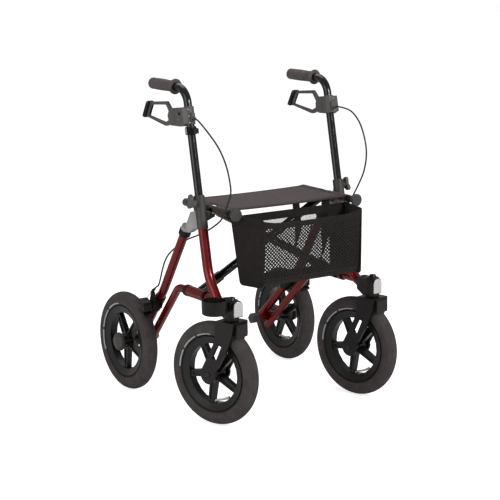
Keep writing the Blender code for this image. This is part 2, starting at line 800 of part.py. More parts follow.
def caster_housing(name, side, finishes):
    """The moulding that holds the steering stem, the front leg's foot and the reflector."""
    x = side * STEER_X
    body = [(0, 0), (0, HOUSING_RADIUS)]
    height = HOUSING_TOP - HOUSING_BOTTOM
    body += [(height - 0.003, HOUSING_RADIUS), (height, HOUSING_RADIUS - 0.003)]
    body += [(height, 0.0125), (height + 0.008, 0.0090), (height + 0.010, 0)]
    shape = turned(body, (x, STEER_Y, HOUSING_BOTTOM), (0, 0, 1), HOUSING_STEPS)
    obj = solid(f"caster_housing_{name}", shape, finishes["plastic"])
    wall = LEG_RADIUS + 0.0025
    neck = [
        (STEER_Y, HOUSING_BOTTOM + 0.0015),
        (STEER_Y + 0.0220, HOUSING_BOTTOM + 0.0015),
        (STEER_Y + 0.0460, FOOT_HEIGHT - wall),
        (NECK_BACK, FOOT_HEIGHT + 0.0030 - wall),
        (NECK_BACK, FOOT_HEIGHT + 0.0075 + wall),
        (STEER_Y, HOUSING_TOP - 0.0030),
    ]
    add(obj, side_plate(neck, FRAME_X - wall, FRAME_X + wall, side))
    screw = Vector((side * FRAME_X, -0.2450, FOOT_HEIGHT + wall - 0.0020))
    add(obj, rod(screw, screw + Vector((0, 0, 0.0120)), 0.0065, 8))
    plate_y = STEER_Y - HOUSING_RADIUS - 0.0050
    plate = arch_outline(0.0350, HOUSING_BOTTOM + 0.0109, HOUSING_TOP + 0.0030)
    plate = [(side * FRAME_X + u, v) for u, v in plate]
    add(obj, prism(plate, plate_y, STEER_Y - 0.010, lambda u, v, y: Vector((u, y, v))))
    stem_room = ((x, STEER_Y, FORK_TOP - 0.01), (x, STEER_Y, STEM_TOP + 0.0010))
    cut(obj, rod(*stem_room, STEM_RADIUS + 2 * CLEARANCE))
    cut(obj, leg_bore(side))
    lens = arch_outline(0.0300, HOUSING_BOTTOM + 0.0134, HOUSING_TOP + 0.0005)
    lens = [(side * FRAME_X + u, v) for u, v in lens]
    front = plate_y - CLEARANCE
    shape = prism(lens, front - 0.0040, front, lambda u, v, y: Vector((u, y, v)))
    soften(solid(f"reflector_{name}", shape, finishes["clear"]), 0.0010, 1)
    return obj


# Side frames


def front_leg(name, side, finishes):
    """The front leg, bored down its straight part for the sliding handle post."""
    path = front_leg_path(side)
    obj = solid(f"front_leg_{name}", swept(path, LEG_RADIUS), finishes["red"])
    bore = POST_RADIUS + CLEARANCE
    cut(obj, rod(post_point(LEG_BORE_BOTTOM, side), post_point(LEG_TOP + 0.01, side), bore))
    return obj


def rear_leg(name, side, finishes):
    """The rear leg with the axle's boss at its lower end."""
    obj = solid(f"rear_leg_{name}", swept(rear_leg_path(side), REAR_LEG_RADIUS), finishes["red"])
    centre = (REAR_AXLE_Y, WHEEL_RADIUS)
    add(obj, rod((side * BOSS_INNER_X, *centre), (side * BOSS_OUTER_X, *centre), BOSS_RADIUS))
    bore = REAR_AXLE_RADIUS + CLEARANCE
    cut(obj, rod((side * (BOSS_INNER_X - 0.01), *centre), (side * (BOSS_OUTER_X + 0.01), *centre), bore))
    return obj


def lower_rail(name, side, finishes):
    """The lower rail, coped to the front leg and the axle boss, with the sleeve's two stop collars."""
    front, *rest = lower_rail_path(side)
    path, radii = [front], [RAIL_RADIUS]
    stops = ((SLEEVE_FRONT - 0.0060, 0.0050, 0.0165), (SLEEVE_BACK + 0.0010, 0.0140, 0.0175))
    for start, length, radius in stops:
        end = start + length
        steps = ((start - STEP, RAIL_RADIUS), (start, radius), (end, radius), (end + STEP, RAIL_RADIUS))
        path += [Vector((front.x, y, RAIL_HEIGHT)) for y, _ in steps]
        radii += [size for _, size in steps]
    shape = swept(path + rest, radii + [RAIL_RADIUS] * len(rest))
    obj = solid(f"lower_rail_{name}", shape, finishes["red"])
    cut(obj, leg_bore(side))
    centre = (REAR_AXLE_Y, WHEEL_RADIUS)
    ends = ((side * (BOSS_INNER_X - 0.01), *centre), (side * (BOSS_OUTER_X + 0.01), *centre))
    cut(obj, rod(*ends, BOSS_RADIUS + CLEARANCE))
    return obj


def sorted_box(centre, half):
    """The low and high corner of a box about a centre."""
    low = tuple(c - h for c, h in zip(centre, half))
    high = tuple(c + h for c, h in zip(centre, half))
    return low, high


def post_socket(name, side, finishes):
    """The clamp on top of the front leg, with the cradle that the seat rail drops into."""
    low, high = 0.5560, 0.6520
    along = post_axis()
    start = post_point(low, side)
    length = (high - low) / math.cos(POST_LEAN)
    profile = [(0, 0), (0, SOCKET_RADIUS - 0.0010), (0.0010, SOCKET_RADIUS)]
    profile += [(length - 0.0030, SOCKET_RADIUS), (length, SOCKET_RADIUS - 0.0020), (length, 0)]
    obj = solid(f"post_socket_{name}", turned(profile, start, along, 16), finishes["dark_grey"])
    clamp = post_point(CLAMP_HEIGHT, side)
    add(obj, rod(clamp, clamp + Vector((side * CLAMP_FACE, 0, 0)), 0.0100, 10))
    wedge = [
        (-0.0165, 0.6000),
        (CLAMP_FACE - 0.0010, 0.6080),
        (CLAMP_FACE - 0.0010, 0.6160),
        (0.0125, high - 0.0010),
        (-0.0125, high - 0.0010),
        (-0.0180, 0.6110),
    ]
    skirt = ((FRAME_X + u) * side for u, _ in wedge)
    skirt = list(zip(skirt, (v for _, v in wedge)))
    add(obj, prism(skirt, clamp.y - 0.0070, clamp.y + 0.0045, lambda u, v, w: Vector((u, w, v))))
    front, back = ARM_Y["b"] - EYE_HALF, ARM_Y["a"] + EYE_HALF
    inner, outer = SEAT_RAIL_X - 0.0010, FRAME_X - 0.0115
    top = SEAT_HEIGHT - 0.0040
    outline = [(inner, SEAT_HEIGHT - 0.0200), (outer, SEAT_HEIGHT - 0.0300), (outer, top), (inner, top)]
    add(obj, prism(outline, front, back, lambda u, v, w: Vector((side * u, w, v))))
    rail = ((side * SEAT_RAIL_X, -0.20, SEAT_HEIGHT), (side * SEAT_RAIL_X, 0.0, SEAT_HEIGHT))
    cut(obj, rod(*rail, CRADLE_RADIUS))
    cut(obj, rod(post_point(LEG_TOP - 0.01, side), post_point(high + 0.02, side), POST_RADIUS + CLEARANCE))
    bore_top = post_point(LEG_TOP, side) + along * CLEARANCE
    cut(obj, rod(post_point(low - 0.02, side), bore_top, LEG_RADIUS + CLEARANCE))
    cut(obj, rod(clamp, clamp + Vector((side * 0.04, 0, 0)), 0.0035, 8))
    return obj


def clamp_knob(name, side, finishes):
    """The wing knob whose screw clamps the handle post at its height."""
    seat = post_point(CLAMP_HEIGHT, side)
    start = FRAME_X + CLAMP_FACE + CLEARANCE
    outline = []
    for k in range(18):
        angle = 2 * math.pi * k / 18
        radius = LOBE_MEAN + LOBE_SWELL * math.cos(3 * (angle - LOBE_ANGLE[name]))
        outline.append((seat.y + radius * math.cos(angle), seat.z + radius * math.sin(angle)))
    wing = side_plate(outline, start + 0.0030, start + 0.0030 + KNOB_THICKNESS, side)
    obj = soften(solid(f"clamp_knob_{name}", wing, finishes["light_grey"]), 0.0015, 1)
    hub = [(0, 0), (0, 0.0085), (0.0060, 0.0085), (0.0060, 0)]
    add(obj, turned(hub, (side * start, seat.y, seat.z), (side, 0, 0), 12))
    tip = (side * (FRAME_X + POST_RADIUS + 0.0005), seat.y, seat.z)
    add(obj, rod(tip, (side * (start + 0.002), seat.y, seat.z), 0.0030, 8))
    return carried_by(obj, pivot(f"clamp_axis_{name}", seat), seat)


def leg_bracket(name, side, finishes):
    """The moulded wedge that ties the rear leg's top to the post socket."""
    outline = [
        (-0.0800, 0.6000),
        (-0.1180, 0.6060),
        (-0.1270, 0.5560),
        (-0.1030, 0.5545),
        (-0.0680, 0.5350),
        (-0.0450, 0.5400),
    ]
    outline = rounded_outline(outline, 0.0030, 2)
    plate = side_plate(outline, FRAME_X - 0.0110, FRAME_X + 0.0110, side)
    obj = soften(solid(f"leg_bracket_{name}", plate, finishes["light_grey"]), 0.0015, 1)
    top = Vector((side * FRAME_X, *REAR_LEG_TOP))
    down = (rear_leg_path(side)[1] - top).normalized()
    add(obj, rod(top - down * 0.004, top + down * 0.024, REAR_LEG_RADIUS + 0.0030))
    cut(obj, rod(top - down * CLEARANCE, top + down * 0.05, REAR_LEG_RADIUS + CLEARANCE))
    cut(obj, rod(post_point(0.50, side), post_point(0.70, side), SOCKET_RADIUS + CLEARANCE, 16))
    return obj


# Handles


def post_path(side):
    """The centre line of the handle post, up from the socket and back into the grip."""
    bottom = post_point(POST_BOTTOM, side)
    corner = post_point(GRIP_HEIGHT, side)
    end = Vector((side * FRAME_X, GRIP_END - 0.014, GRIP_HEIGHT))
    return filleted([bottom, corner, end], POST_BEND, 8)


def handle_post(name, side, finishes):
    """The bent handle tube."""
    return solid(f"handle_post_{name}", swept(post_path(side), POST_RADIUS), finishes["black"])


def grip(name, side, finishes):
    """The hand grip with its round guard at the front."""
    length = GRIP_END - GRIP_START
    profile = [
        (0, 0),
        (0, 0.0160),
        (0.0015, GRIP_FLANGE),
        (0.0060, GRIP_FLANGE - 0.001),
        (0.0080, GRIP_RADIUS + 0.0005),
        (0.0500, GRIP_RADIUS - 0.0005),
        (0.0900, GRIP_RADIUS + 0.0003),
        (length - 0.012, GRIP_RADIUS + 0.0010),
        (length, GRIP_RADIUS - 0.0050),
        (length, 0),
    ]
    start = (side * FRAME_X, GRIP_START, GRIP_HEIGHT)
    obj = solid(f"grip_{name}", turned(profile, start, (0, 1, 0), 16), finishes["grip"])
    end = (side * FRAME_X, GRIP_END - 0.014 + CLEARANCE, GRIP_HEIGHT)
    return cut(obj, rod((start[0], GRIP_START - 0.01, GRIP_HEIGHT), end, POST_RADIUS + CLEARANCE))


def lever_housing(name, side, finishes):
    """The brake lever's housing, clamped round the post, with a slot for the lever."""
    outline = [
        (-0.0680, 0.9030),
        (-0.0090, 0.8960),
        (0.0050, 0.8860),
        (0.0110, 0.8720),
        (0.0030, 0.8540),
        (-0.0040, 0.8450),
        (-0.0600, 0.8470),
        (-0.0790, 0.8570),
    ]
    plate = side_plate(outline, FRAME_X + 0.0030, FRAME_X + 0.0290, side)
    obj = soften(solid(f"lever_housing_{name}", plate, finishes["dark_grey"]), 0.0018, 1)
    add(obj, rod(post_point(0.8520, side), post_point(0.9030, side), POST_RADIUS + 0.0038, 16))
    lug = [(-0.0700, 0.8600), (-0.0700, 0.8900), (-0.0850, 0.8860), (-0.0880, 0.8640)]
    add(obj, side_plate(lug, FRAME_X - 0.0060, FRAME_X + 0.0060, side))
    cut(obj, rod(post_point(0.80, side), post_point(0.93, side), POST_RADIUS + CLEARANCE))
    slot = LEVER_HALF + 0.0006
    centre = side * (FRAME_X + LEVER_X)
    cut(obj, block(*sorted_box((centre, -0.0070, 0.8700), (slot, 0.0480, 0.0500))))
    entry, onward = cable_route(side)[:2]
    back = (entry - onward).normalized()
    add(obj, rod(entry + back * 0.014, entry + back * 2 * CLEARANCE, 0.0050, 8))
    pin = (side * FRAME_X + side * (LEVER_X + 0.02), *LEVER_PIVOT)
    cut(obj, rod((side * (FRAME_X + LEVER_X - 0.01), *LEVER_PIVOT), pin, 0.0043, 10))
    return obj


def brake_lever(name, side, finishes):
    """The loop lever with its finger pad, pivoting in the housing's slot."""
    y, z = LEVER_PIVOT
    outer = [
        (y - 0.0110, z + 0.0080),
        (-0.0200, 0.8860),
        (0.0060, 0.8900),
        (0.0290, 0.9110),
        (0.0360, 0.9110),
        (0.1300, 0.9010),
        (0.1340, 0.8920),
        (0.1530, 0.8560),
        (0.1430, 0.8560),
        (0.0400, 0.8390),
        (0.0320, 0.8390),
        (0.0100, 0.8470),
        (-0.0200, 0.8530),
        (y - 0.0110, z - 0.0080),
    ]
    hole = [
        (0.0170, 0.8800),
        (0.0345, 0.9010),
        (0.1230, 0.8930),
        (0.1400, 0.8620),
        (0.0380, 0.8490),
        (0.0170, 0.8590),
    ]
    low, high = FRAME_X + LEVER_X - LEVER_HALF, FRAME_X + LEVER_X + LEVER_HALF
    obj = solid(f"brake_lever_{name}", side_plate(outer, low, high, side), finishes["dark_grey"])
    cut(obj, side_plate(rounded_outline(hole, 0.0030, 2), low - 0.01, high + 0.01, side))
    pad = [(0.1215, 0.9020), (0.1310, 0.9020), (0.1560, 0.8550), (0.1465, 0.8550)]
    centre = FRAME_X + LEVER_X
    outline = rounded_outline(pad, 0.0030, 2)
    shape = side_plate(outline, centre - PAD_HALF_WIDTH, centre + PAD_HALF_WIDTH, side)
    add(obj, shape)
    pin_start = (side * (low - 0.0040), y, z)
    add(obj, rod(pin_start, (side * (FRAME_X + 0.0288), y, z), 0.0040, 10))
    place = (side * centre, y, z)
    return carried_by(obj, pivot(f"lever_axis_{name}", place), place)


def cable_route(side):
    """The brake cable's own route: out of the lever housing, round and down to the brake."""
    x = side * FRAME_X
    inner = side * (FRAME_X - 0.0225)
    if side < 0:
        bulge = [
            (x, -0.1670, 0.8350),
            (x, -0.2180, 0.7980),
            (x, -0.2540, 0.7530),
            (x, -0.2730, 0.7040),
            (x, -0.2740, 0.6760),
            (x, -0.2590, 0.6470),
        ]
    else:
        bulge = [
            (x, -0.1690, 0.8680),
            (x, -0.2080, 0.8430),
            (x, -0.2330, 0.8060),
            (x, -0.2480, 0.7580),
            (x, -0.2440, 0.7120),
            (x, -0.2240, 0.6660),
        ]
    run = [
        (x, -0.0945, 0.8710),
        (x, -0.1130, 0.8660 if side < 0 else 0.8745),
        *bulge,
        (inner, -0.1960, 0.5930),
        (inner, -0.1560, 0.5650),
        (inner, -0.1160, 0.5450),
        (inner, -0.0600, 0.5210),
        (x - side * 0.0180, -0.0080, 0.4990),
        (x + side * 0.0060, 0.0330, 0.4620),
        (x + side * 0.0160, 0.0560, 0.4250),
    ]
    end = cable_end(side)
    pull = (brake_anchor(side) - end).normalized()
    return [Vector(point) for point in run] + [end - pull * 0.0340, end - pull * 0.0170, end]


def cable_end(side):
    """Where the cable's jacket ends, at the brake's adjuster."""
    return brake_anchor(side) + Vector((-side * 0.0080, -0.0380, 0.0370))


def brake_anchor(side):
    """The end of the brake arm that the cable's wire pulls."""
    return around_axle(ANCHOR_ANGLE, WHEEL_RADIUS + ANCHOR_OUT, side * (REAR_WHEEL_X - 0.0080))


def brake_cable(name, side, finishes):
    """The jacketed cable, thinning to its bare wire between the adjuster and the brake arm."""
    path = smooth_path(cable_route(side), CABLE_SPACING)
    end = path[-1]
    wire = brake_anchor(side) - end
    bare = [end + wire * share for share in (0.04, 0.5, 0.90)]
    radii = [CABLE_RADIUS] * len(path) + [WIRE_RADIUS] * len(bare)
    return solid(f"brake_cable_{name}", swept(path + bare, radii, 6), finishes["cable"])


# Rear brakes


def brake_bracket(name, side, finishes):
    """The clamp on the rear leg that carries the brake arm's pin and the cable's adjuster."""
    path = rear_leg_path(side)
    down = (path[-1] - path[-2]).normalized()
    pin = brake_pivot_point(side)
    share = (pin.z - path[-1].z) / down.z
    seat = path[-1] + down * share
    shape = rod(seat - down * 0.0300, seat + down * 0.0300, REAR_LEG_RADIUS + 0.0035)
    obj = solid(f"brake_bracket_{name}", shape, finishes["plastic"])
    ear = [
        (pin.y - 0.0120, pin.z - 0.0140),
        (pin.y + 0.0120, pin.z - 0.0170),
        (pin.y + 0.0150, pin.z + 0.0020),
        (pin.y + 0.0080, pin.z + 0.0120),
        (pin.y - 0.0100, pin.z + 0.0120),
        (pin.y - 0.0150, pin.z + 0.0020),
    ]
    inner = abs(seat.x) + 0.004
    outer = REAR_WHEEL_X - 0.0160
    add(obj, side_plate(ear, inner, outer - CLEARANCE, side))
    root = Vector((side * (outer - 0.0060), pin.y, pin.z))
    tip = Vector((side * (REAR_WHEEL_X + 0.0145), pin.y, pin.z))
    add(obj, rod(root, tip, 0.0040, 10))
    end = cable_end(side)
    pull = (brake_anchor(side) - end).normalized()
    stop = end + pull * 0.0090
    lug = [(stop.y - 0.0070, stop.z - 0.0050), (stop.y + 0.0050, stop.z + 0.0070)]
    lug += [(pin.y + 0.0100, pin.z + 0.0100), (pin.y - 0.0080, pin.z + 0.0080)]
    add(obj, side_plate(lug, outer - 0.0060, outer - CLEARANCE, side))
    barrel = rod(end - pull * 0.0060, end + pull * 0.0130, 0.0045, 8)
    add(obj, barrel)
    cut(obj, rod(end - pull * 0.0120, end + pull * 0.0028, CABLE_RADIUS + 3 * CLEARANCE, 8))
    cut(obj, rod(end - pull * 0.001, end + pull * 0.03, WIRE_RADIUS + 2 * CLEARANCE, 6))
    cut(obj, swept(path, REAR_LEG_RADIUS + CLEARANCE))
    return obj


def released(point, side):
    """Turns a point of the brake arm back from where it brakes to where it rests."""
    pin = brake_pivot_point(side)
    away = point - pin
    turn = -BRAKE_TURN
    y = away.y * math.cos(turn) - away.z * math.sin(turn)
    z = away.y * math.sin(turn) + away.z * math.cos(turn)
    return Vector((point.x, pin.y + y, pin.z + z))


def brake_arm(name, side, finishes):
    """The rocker that turns the cable's pull into the shoe's push on the tyre."""
    pin = brake_pivot_point(side)
    anchor = brake_anchor(side)
    low, high = REAR_WHEEL_X - 0.0155, REAR_WHEEL_X + 0.0140
    face = WHEEL_RADIUS + SHOE_STOP_GAP
    shoe = [(SHOE_ANGLE + SHOE_REACH * (k / 3 - 1), face) for k in range(7)]
    shoe += [(SHOE_ANGLE + reach, face + SHOE_THICKNESS) for reach in (SHOE_REACH, -SHOE_REACH)]
    pressed = [released(around_axle(angle, radius, 0.0), side) for angle, radius in shoe]
    outline = [(point.y, point.z) for point in pressed]
    obj = solid(f"brake_arm_{name}", side_plate(outline, low, high, side), finishes["plastic"])
    arm = [
        (pin.y - 0.0085, pin.z + 0.0020),
        (pin.y - 0.0090, pin.z - 0.0180),
        (pin.y + 0.0080, pin.z - 0.0180),
        (pin.y + 0.0085, pin.z - 0.0040),
        (anchor.y + 0.0060, anchor.z - 0.0045),
        (anchor.y + 0.0050, anchor.z + 0.0060),
        (anchor.y - 0.0060, anchor.z + 0.0055),
        (pin.y + 0.0030, pin.z + 0.0092),
        (pin.y - 0.0060, pin.z + 0.0085),
    ]
    add(obj, side_plate(arm, low, high, side))
    across = ((side * (low - 0.01), pin.y, pin.z), (side * (high + 0.01), pin.y, pin.z))
    cut(obj, rod(*across, 0.0043, 10))
    pull = (anchor - cable_end(side)).normalized()
    cut(obj, rod(anchor - pull * 0.02, anchor + pull * 0.004, 0.0030, 8))
    place = (side * REAR_WHEEL_X, pin.y, pin.z)
    return carried_by(obj, pivot(f"brake_axis_{name}", place), place)


# Folding cross


def cross_arm(key, side, finishes):
    """One arm of the cross: it turns on its side's lower rail and carries the other side's seat rail."""
    y = ARM_Y[key]
    foot = Vector((side * FRAME_X, y, RAIL_HEIGHT))
    head = Vector((-side * SEAT_RAIL_X, y, SEAT_HEIGHT))
    along = (head - foot).normalized()
    length = (head - foot).length
    tube = [
        (0.0050, 0),
        (0.0050, ARM_RADIUS),
        (COLLAR_START, ARM_RADIUS),
        (COLLAR_START, ARM_RADIUS + COLLAR_HEIGHT),
        (COLLAR_START + COLLAR_LENGTH, ARM_RADIUS + COLLAR_HEIGHT),
        (COLLAR_START + COLLAR_LENGTH, ARM_RADIUS),
        (length - 0.0240, ARM_RADIUS),
        (length - 0.0120, EYE_HALF - 0.0040),
        (length - 0.0040, EYE_HALF - 0.0040),
        (length - 0.0040, 0),
    ]
    obj = solid(f"cross_arm_{key}", turned(tube, foot, along, TUBE_SIDES), finishes["black"])
    add(obj, rod((foot.x, SLEEVE_FRONT, RAIL_HEIGHT), (foot.x, SLEEVE_BACK, RAIL_HEIGHT), SLEEVE_RADIUS, 16))
    add(obj, rod((head.x, y - EYE_HALF, head.z), (head.x, y + EYE_HALF, head.z), EYE_RADIUS))
    under = Vector((along.z, 0.0, -along.x)) if along.x > 0 else Vector((-along.z, 0.0, along.x))
    gusset = [
        foot + along * 0.010,
        foot + along * 0.058,
        foot + along * 0.056 + under * 0.0140,
        foot + along * 0.020 + under * 0.0190,
        foot + under * 0.0140,
    ]
    outline = [(point.x, point.z) for point in gusset]
    add(obj, prism(outline, y - 0.0030, y + 0.0030, lambda u, v, w: Vector((u, w, v))))
    middle = Vector((0.0, y, cross_pivot_height()))
    through = Vector((0, 0.03, 0))
    cut(obj, rod(middle - through, middle + through, PIVOT_RADIUS + CLEARANCE))
    cut(obj, rod((foot.x, -0.20, foot.z), (foot.x, 0.0, foot.z), RAIL_RADIUS + TURNING_CLEARANCE))
    cut(obj, rod((head.x, -0.20, head.z), (head.x, 0.0, head.z), SEAT_RAIL_RADIUS + TURNING_CLEARANCE))
    return carried_by(obj, pivot(f"fold_axis_{key}", foot), foot)


def cross_pivot(finishes):
    """The bolt through both arms where they cross, with a washer between them."""
    front = ARM_Y["b"] - ARM_RADIUS
    back = ARM_Y["a"] + ARM_RADIUS
    start = front - 0.0050
    gap_front = ARM_Y["b"] + ARM_RADIUS + CLEARANCE - start
    gap_back = ARM_Y["a"] - ARM_RADIUS - CLEARANCE - start
    length = back + 0.0050 - start
    profile = [
        (0, 0),
        (0, 0.0065),
        (0.0047, 0.0080),
        (0.0047, PIVOT_RADIUS),
        (gap_front, PIVOT_RADIUS),
        (gap_front, 0.0080),
        (gap_back, 0.0080),
        (gap_back, PIVOT_RADIUS),
        (length - 0.0047, PIVOT_RADIUS),
        (length - 0.0047, 0.0080),
        (length, 0.0065),
        (length, 0),
    ]
    place = Vector((0.0, start, cross_pivot_height()))
    obj = solid("cross_pivot", turned(profile, place, (0, 1, 0), TUBE_SIDES), finishes["steel"])
    return carried_by(obj, pivot("cross_axis", place), place)


def seat_rail(name, side, finishes):
    """The rail in the seat's tunnel hem and its round front tip."""
    place = Vector((side * SEAT_RAIL_X, 0.0, SEAT_HEIGHT))
    carrier = pivot(f"seat_rail_axis_{name}", place)
    start = (place.x, SEAT_RAIL_FRONT, place.z)
    end = (place.x, SEAT_RAIL_BACK, place.z)
    rail = solid(f"seat_rail_{name}", rod(start, end, SEAT_RAIL_RADIUS), finishes["black"])
    carried_by(rail, carrier, place)
    profile = [
        (0, 0),
        (0, TIP_RADIUS - 0.002),
        (0.0020, TIP_RADIUS),
        (0.0070, TIP_RADIUS),
        (0.0090, 0.0120),
        (0.0230, 0.0112),
        (0.0230, SEAT_RAIL_RADIUS + CLEARANCE),
        (0.0090, SEAT_RAIL_RADIUS + CLEARANCE),
        (0.0090, 0),
    ]
    face = SEAT_RAIL_FRONT - 0.0090 - CLEARANCE
    shape = turned(profile, (place.x, face, place.z), (0, 1, 0), 16)
    tip = solid(f"rail_tip_{name}", shape, finishes["dark_grey"])
    carried_by(tip, carrier, place)
    return carrier, place


def seat(finishes):
    """The sling seat: a sheet that sags a little between two tunnel hems."""
    segments = 12
    top = SEAT_HEIGHT + SEAT_RAIL_RADIUS + CLEARANCE
    outline = []
    under = []
    for k in range(segments + 1):
        x = -SEAT_RAIL_X + 2 * SEAT_RAIL_X * k / segments
        z = top - SEAT_SAG * (1 - (x / SEAT_RAIL_X) ** 2)
        outline.append((x, z + SEAT_THICKNESS))
        under.append((x, z))
    sheet = prism(outline + under[::-1], SEAT_FRONT, SEAT_BACK, lambda u, v, w: Vector((u, w, v)))
    obj = solid("seat", sheet, finishes["seat"])
    for _, side in SIDES:
        x = side * SEAT_RAIL_X
        ends = ((x, SEAT_FRONT, SEAT_HEIGHT), (x, SEAT_BACK, SEAT_HEIGHT))
        inner = SEAT_RAIL_RADIUS + CLEARANCE
        add(obj, ring_bar(*ends, inner, inner + SEAT_THICKNESS, TUBE_SIDES))
        arm = "b" if side < 0 else "a"
        notch = (0.0160, EYE_HALF + 0.0015, 0.0300)
        cut(obj, block(*sorted_box((x + side * 0.002, ARM_Y[arm], SEAT_HEIGHT), notch)))
        bore = ((x, SEAT_FRONT - 0.01, SEAT_HEIGHT), (x, SEAT_BACK + 0.01, SEAT_HEIGHT))
        cut(obj, rod(*bore, inner, TUBE_SIDES))
    return obj


# Basket


def board_point(share, side, inset=0.0):
    """A point of the basket's side board in plan: share 0 at its back edge, 1 at its front."""
    x = BASKET_BACK_X + (BASKET_FRONT_X - BASKET_BACK_X) * share - inset
    y = BASKET_BACK_Y + (BASKET_FRONT_Y - BASKET_BACK_Y) * share
    return Vector((side * x, y, 0.0))


def basket_side(name, side, carrier, place, finishes):
    """The stiff cloth-covered side board, hung on the seat rail by a loop."""
    corners = [
        (0.00, BASKET_TOP),
        (1.00, BASKET_TOP + 0.001),
        (1.00, BASKET_BOTTOM),
        (0.29, BASKET_BOTTOM - 0.001),
    ]
    span = abs(BASKET_FRONT_Y - BASKET_BACK_Y)
    flat = [(share * span, z) for share, z in corners]
    outline = rounded_outline(flat, [0.004, 0.006, 0.016, 0.012], 3)
    half = BOARD_THICKNESS / 2

    def stand(u, v, w):
        point = board_point(u / span, side, w)
        return Vector((point.x, point.y, v))

    obj = solid(f"basket_side_{name}", prism(outline, -half, half, stand), finishes["basket"])
    front, back = LOOP_FRONT, LOOP_FRONT + LOOP_WIDTH
    rail_x = side * SEAT_RAIL_X
    add(obj, rod((rail_x, front, SEAT_HEIGHT), (rail_x, back, SEAT_HEIGHT), SEAT_RAIL_RADIUS + 0.0025))
    share = (BASKET_BACK_Y - (front + back) / 2) / span
    tab_inner = board_point(share, side).x
    low_x, high_x = sorted((tab_inner - side * half * 0.5, rail_x - side * 0.0060))
    low = (low_x, front + 0.0005, BASKET_TOP - 0.0080)
    add(obj, block(low, (high_x, back - 0.0005, SEAT_HEIGHT - 0.0010)))
    cut(obj, rod((rail_x, -0.30, SEAT_HEIGHT), (rail_x, -0.10, SEAT_HEIGHT), SEAT_RAIL_RADIUS + CLEARANCE))
    return carried_by(obj, carrier, place)


def net_stations():
    """The net's side view, from the front's top round the floor to the back's top: (y, z, gap follows)."""
    stations = [(BASKET_FRONT_Y, BASKET_TOP, False)]
    floor_front = BASKET_FRONT_Y + 0.0085
    floor_back = BASKET_BACK_Y - 0.0310
    low, high = BASKET_BOTTOM + 0.0130, BASKET_TOP - 0.0300
    legs = (
        ((BASKET_FRONT_Y + 0.0008, BASKET_TOP - 0.0180), (floor_front, low), NET_ROWS),
        ((floor_front + 0.0120, BASKET_BOTTOM), (floor_back - 0.0120, BASKET_BOTTOM), NET_ROWS // 2),
        ((floor_back + 0.0030, low), (BASKET_BACK_Y - 0.0090, high), NET_ROWS),
    )
    for start, end, rows in legs:
        cells = 2 * rows - 1
        bar = 0.35
        total = rows + bar * (rows - 1)
        travelled = 0.0
        for k in range(cells + 1):
            share = travelled / total
            y = start[0] + (end[0] - start[0]) * share
            z = start[1] + (end[1] - start[1]) * share
            stations.append((y, z, k % 2 == 0 and k < cells))
            travelled += 1.0 if k % 2 == 0 else bar
    return stations + [(BASKET_BACK_Y, BASKET_TOP, False)]


def basket_net(finishes):
    """The net that forms the basket's front, floor and back, with a plain band along each edge."""
    stations = net_stations()
    bar = 0.35
    columns = 2 * NET_COLUMNS - 1
    total = NET_COLUMNS + bar * (NET_COLUMNS - 1)
    across = [-1.0]
    travelled = 0.0
    for k in range(columns + 1):
        across.append((travelled / total * 2 - 1) * 0.94)
        travelled += 1.0 if k % 2 == 0 else bar
    across.append(1.0)
    shape = bmesh.new()
    grids = []
    for face in (0.0, NET_THICKNESS):
        grid = []
        for k, (y, z, _) in enumerate(stations):
            before = stations[max(k - 1, 0)]
            after = stations[min(k + 1, len(stations) - 1)]
            run = Vector((0.0, after[0] - before[0], after[1] - before[1])).normalized()
            point = Vector((0.0, y, z)) + Vector((0.0, run.z, -run.y)) * -face
            share = (BASKET_BACK_Y - y) / (BASKET_BACK_Y - BASKET_FRONT_Y)
            half = board_point(min(share, 1.0), 1).x - BOARD_THICKNESS / 2 - 2 * CLEARANCE
            grid.append([shape.verts.new((u * half, point.y, point.z)) for u in across])
        grids.append(grid)
    outer, inner = grids
    rows, columns = len(stations) - 1, len(across) - 1

    def kept(row, column):
        if not (0 <= row < rows and 0 <= column < columns):
            return False
        return not (stations[row][2] and column % 2 == 1)

    for row in range(rows):
        for column in range(columns):
            if not kept(row, column):
                continue
            for grid in grids:
                upper, lower = grid[row], grid[row + 1]
                shape.faces.new((upper[column], upper[column + 1], lower[column + 1], lower[column]))
            edges = (
                ((row - 1, column), (row, column), (row, column + 1)),
                ((row + 1, column), (row + 1, column), (row + 1, column + 1)),
                ((row, column - 1), (row, column), (row + 1, column)),
                ((row, column + 1), (row, column + 1), (row + 1, column + 1)),
            )
            for neighbour, start, end in edges:
                if not kept(*neighbour):
                    corners = (outer[start[0]][start[1]], outer[end[0]][end[1]])
                    corners += (inner[end[0]][end[1]], inner[start[0]][start[1]])
                    shape.faces.new(corners)
    unused = [vertex for vertex in shape.verts if not vertex.link_faces]
    bmesh.ops.delete(shape, geom=unused, context="VERTS")
    return solid("basket_net", shape, finishes["basket"])


# Walking-stick holder


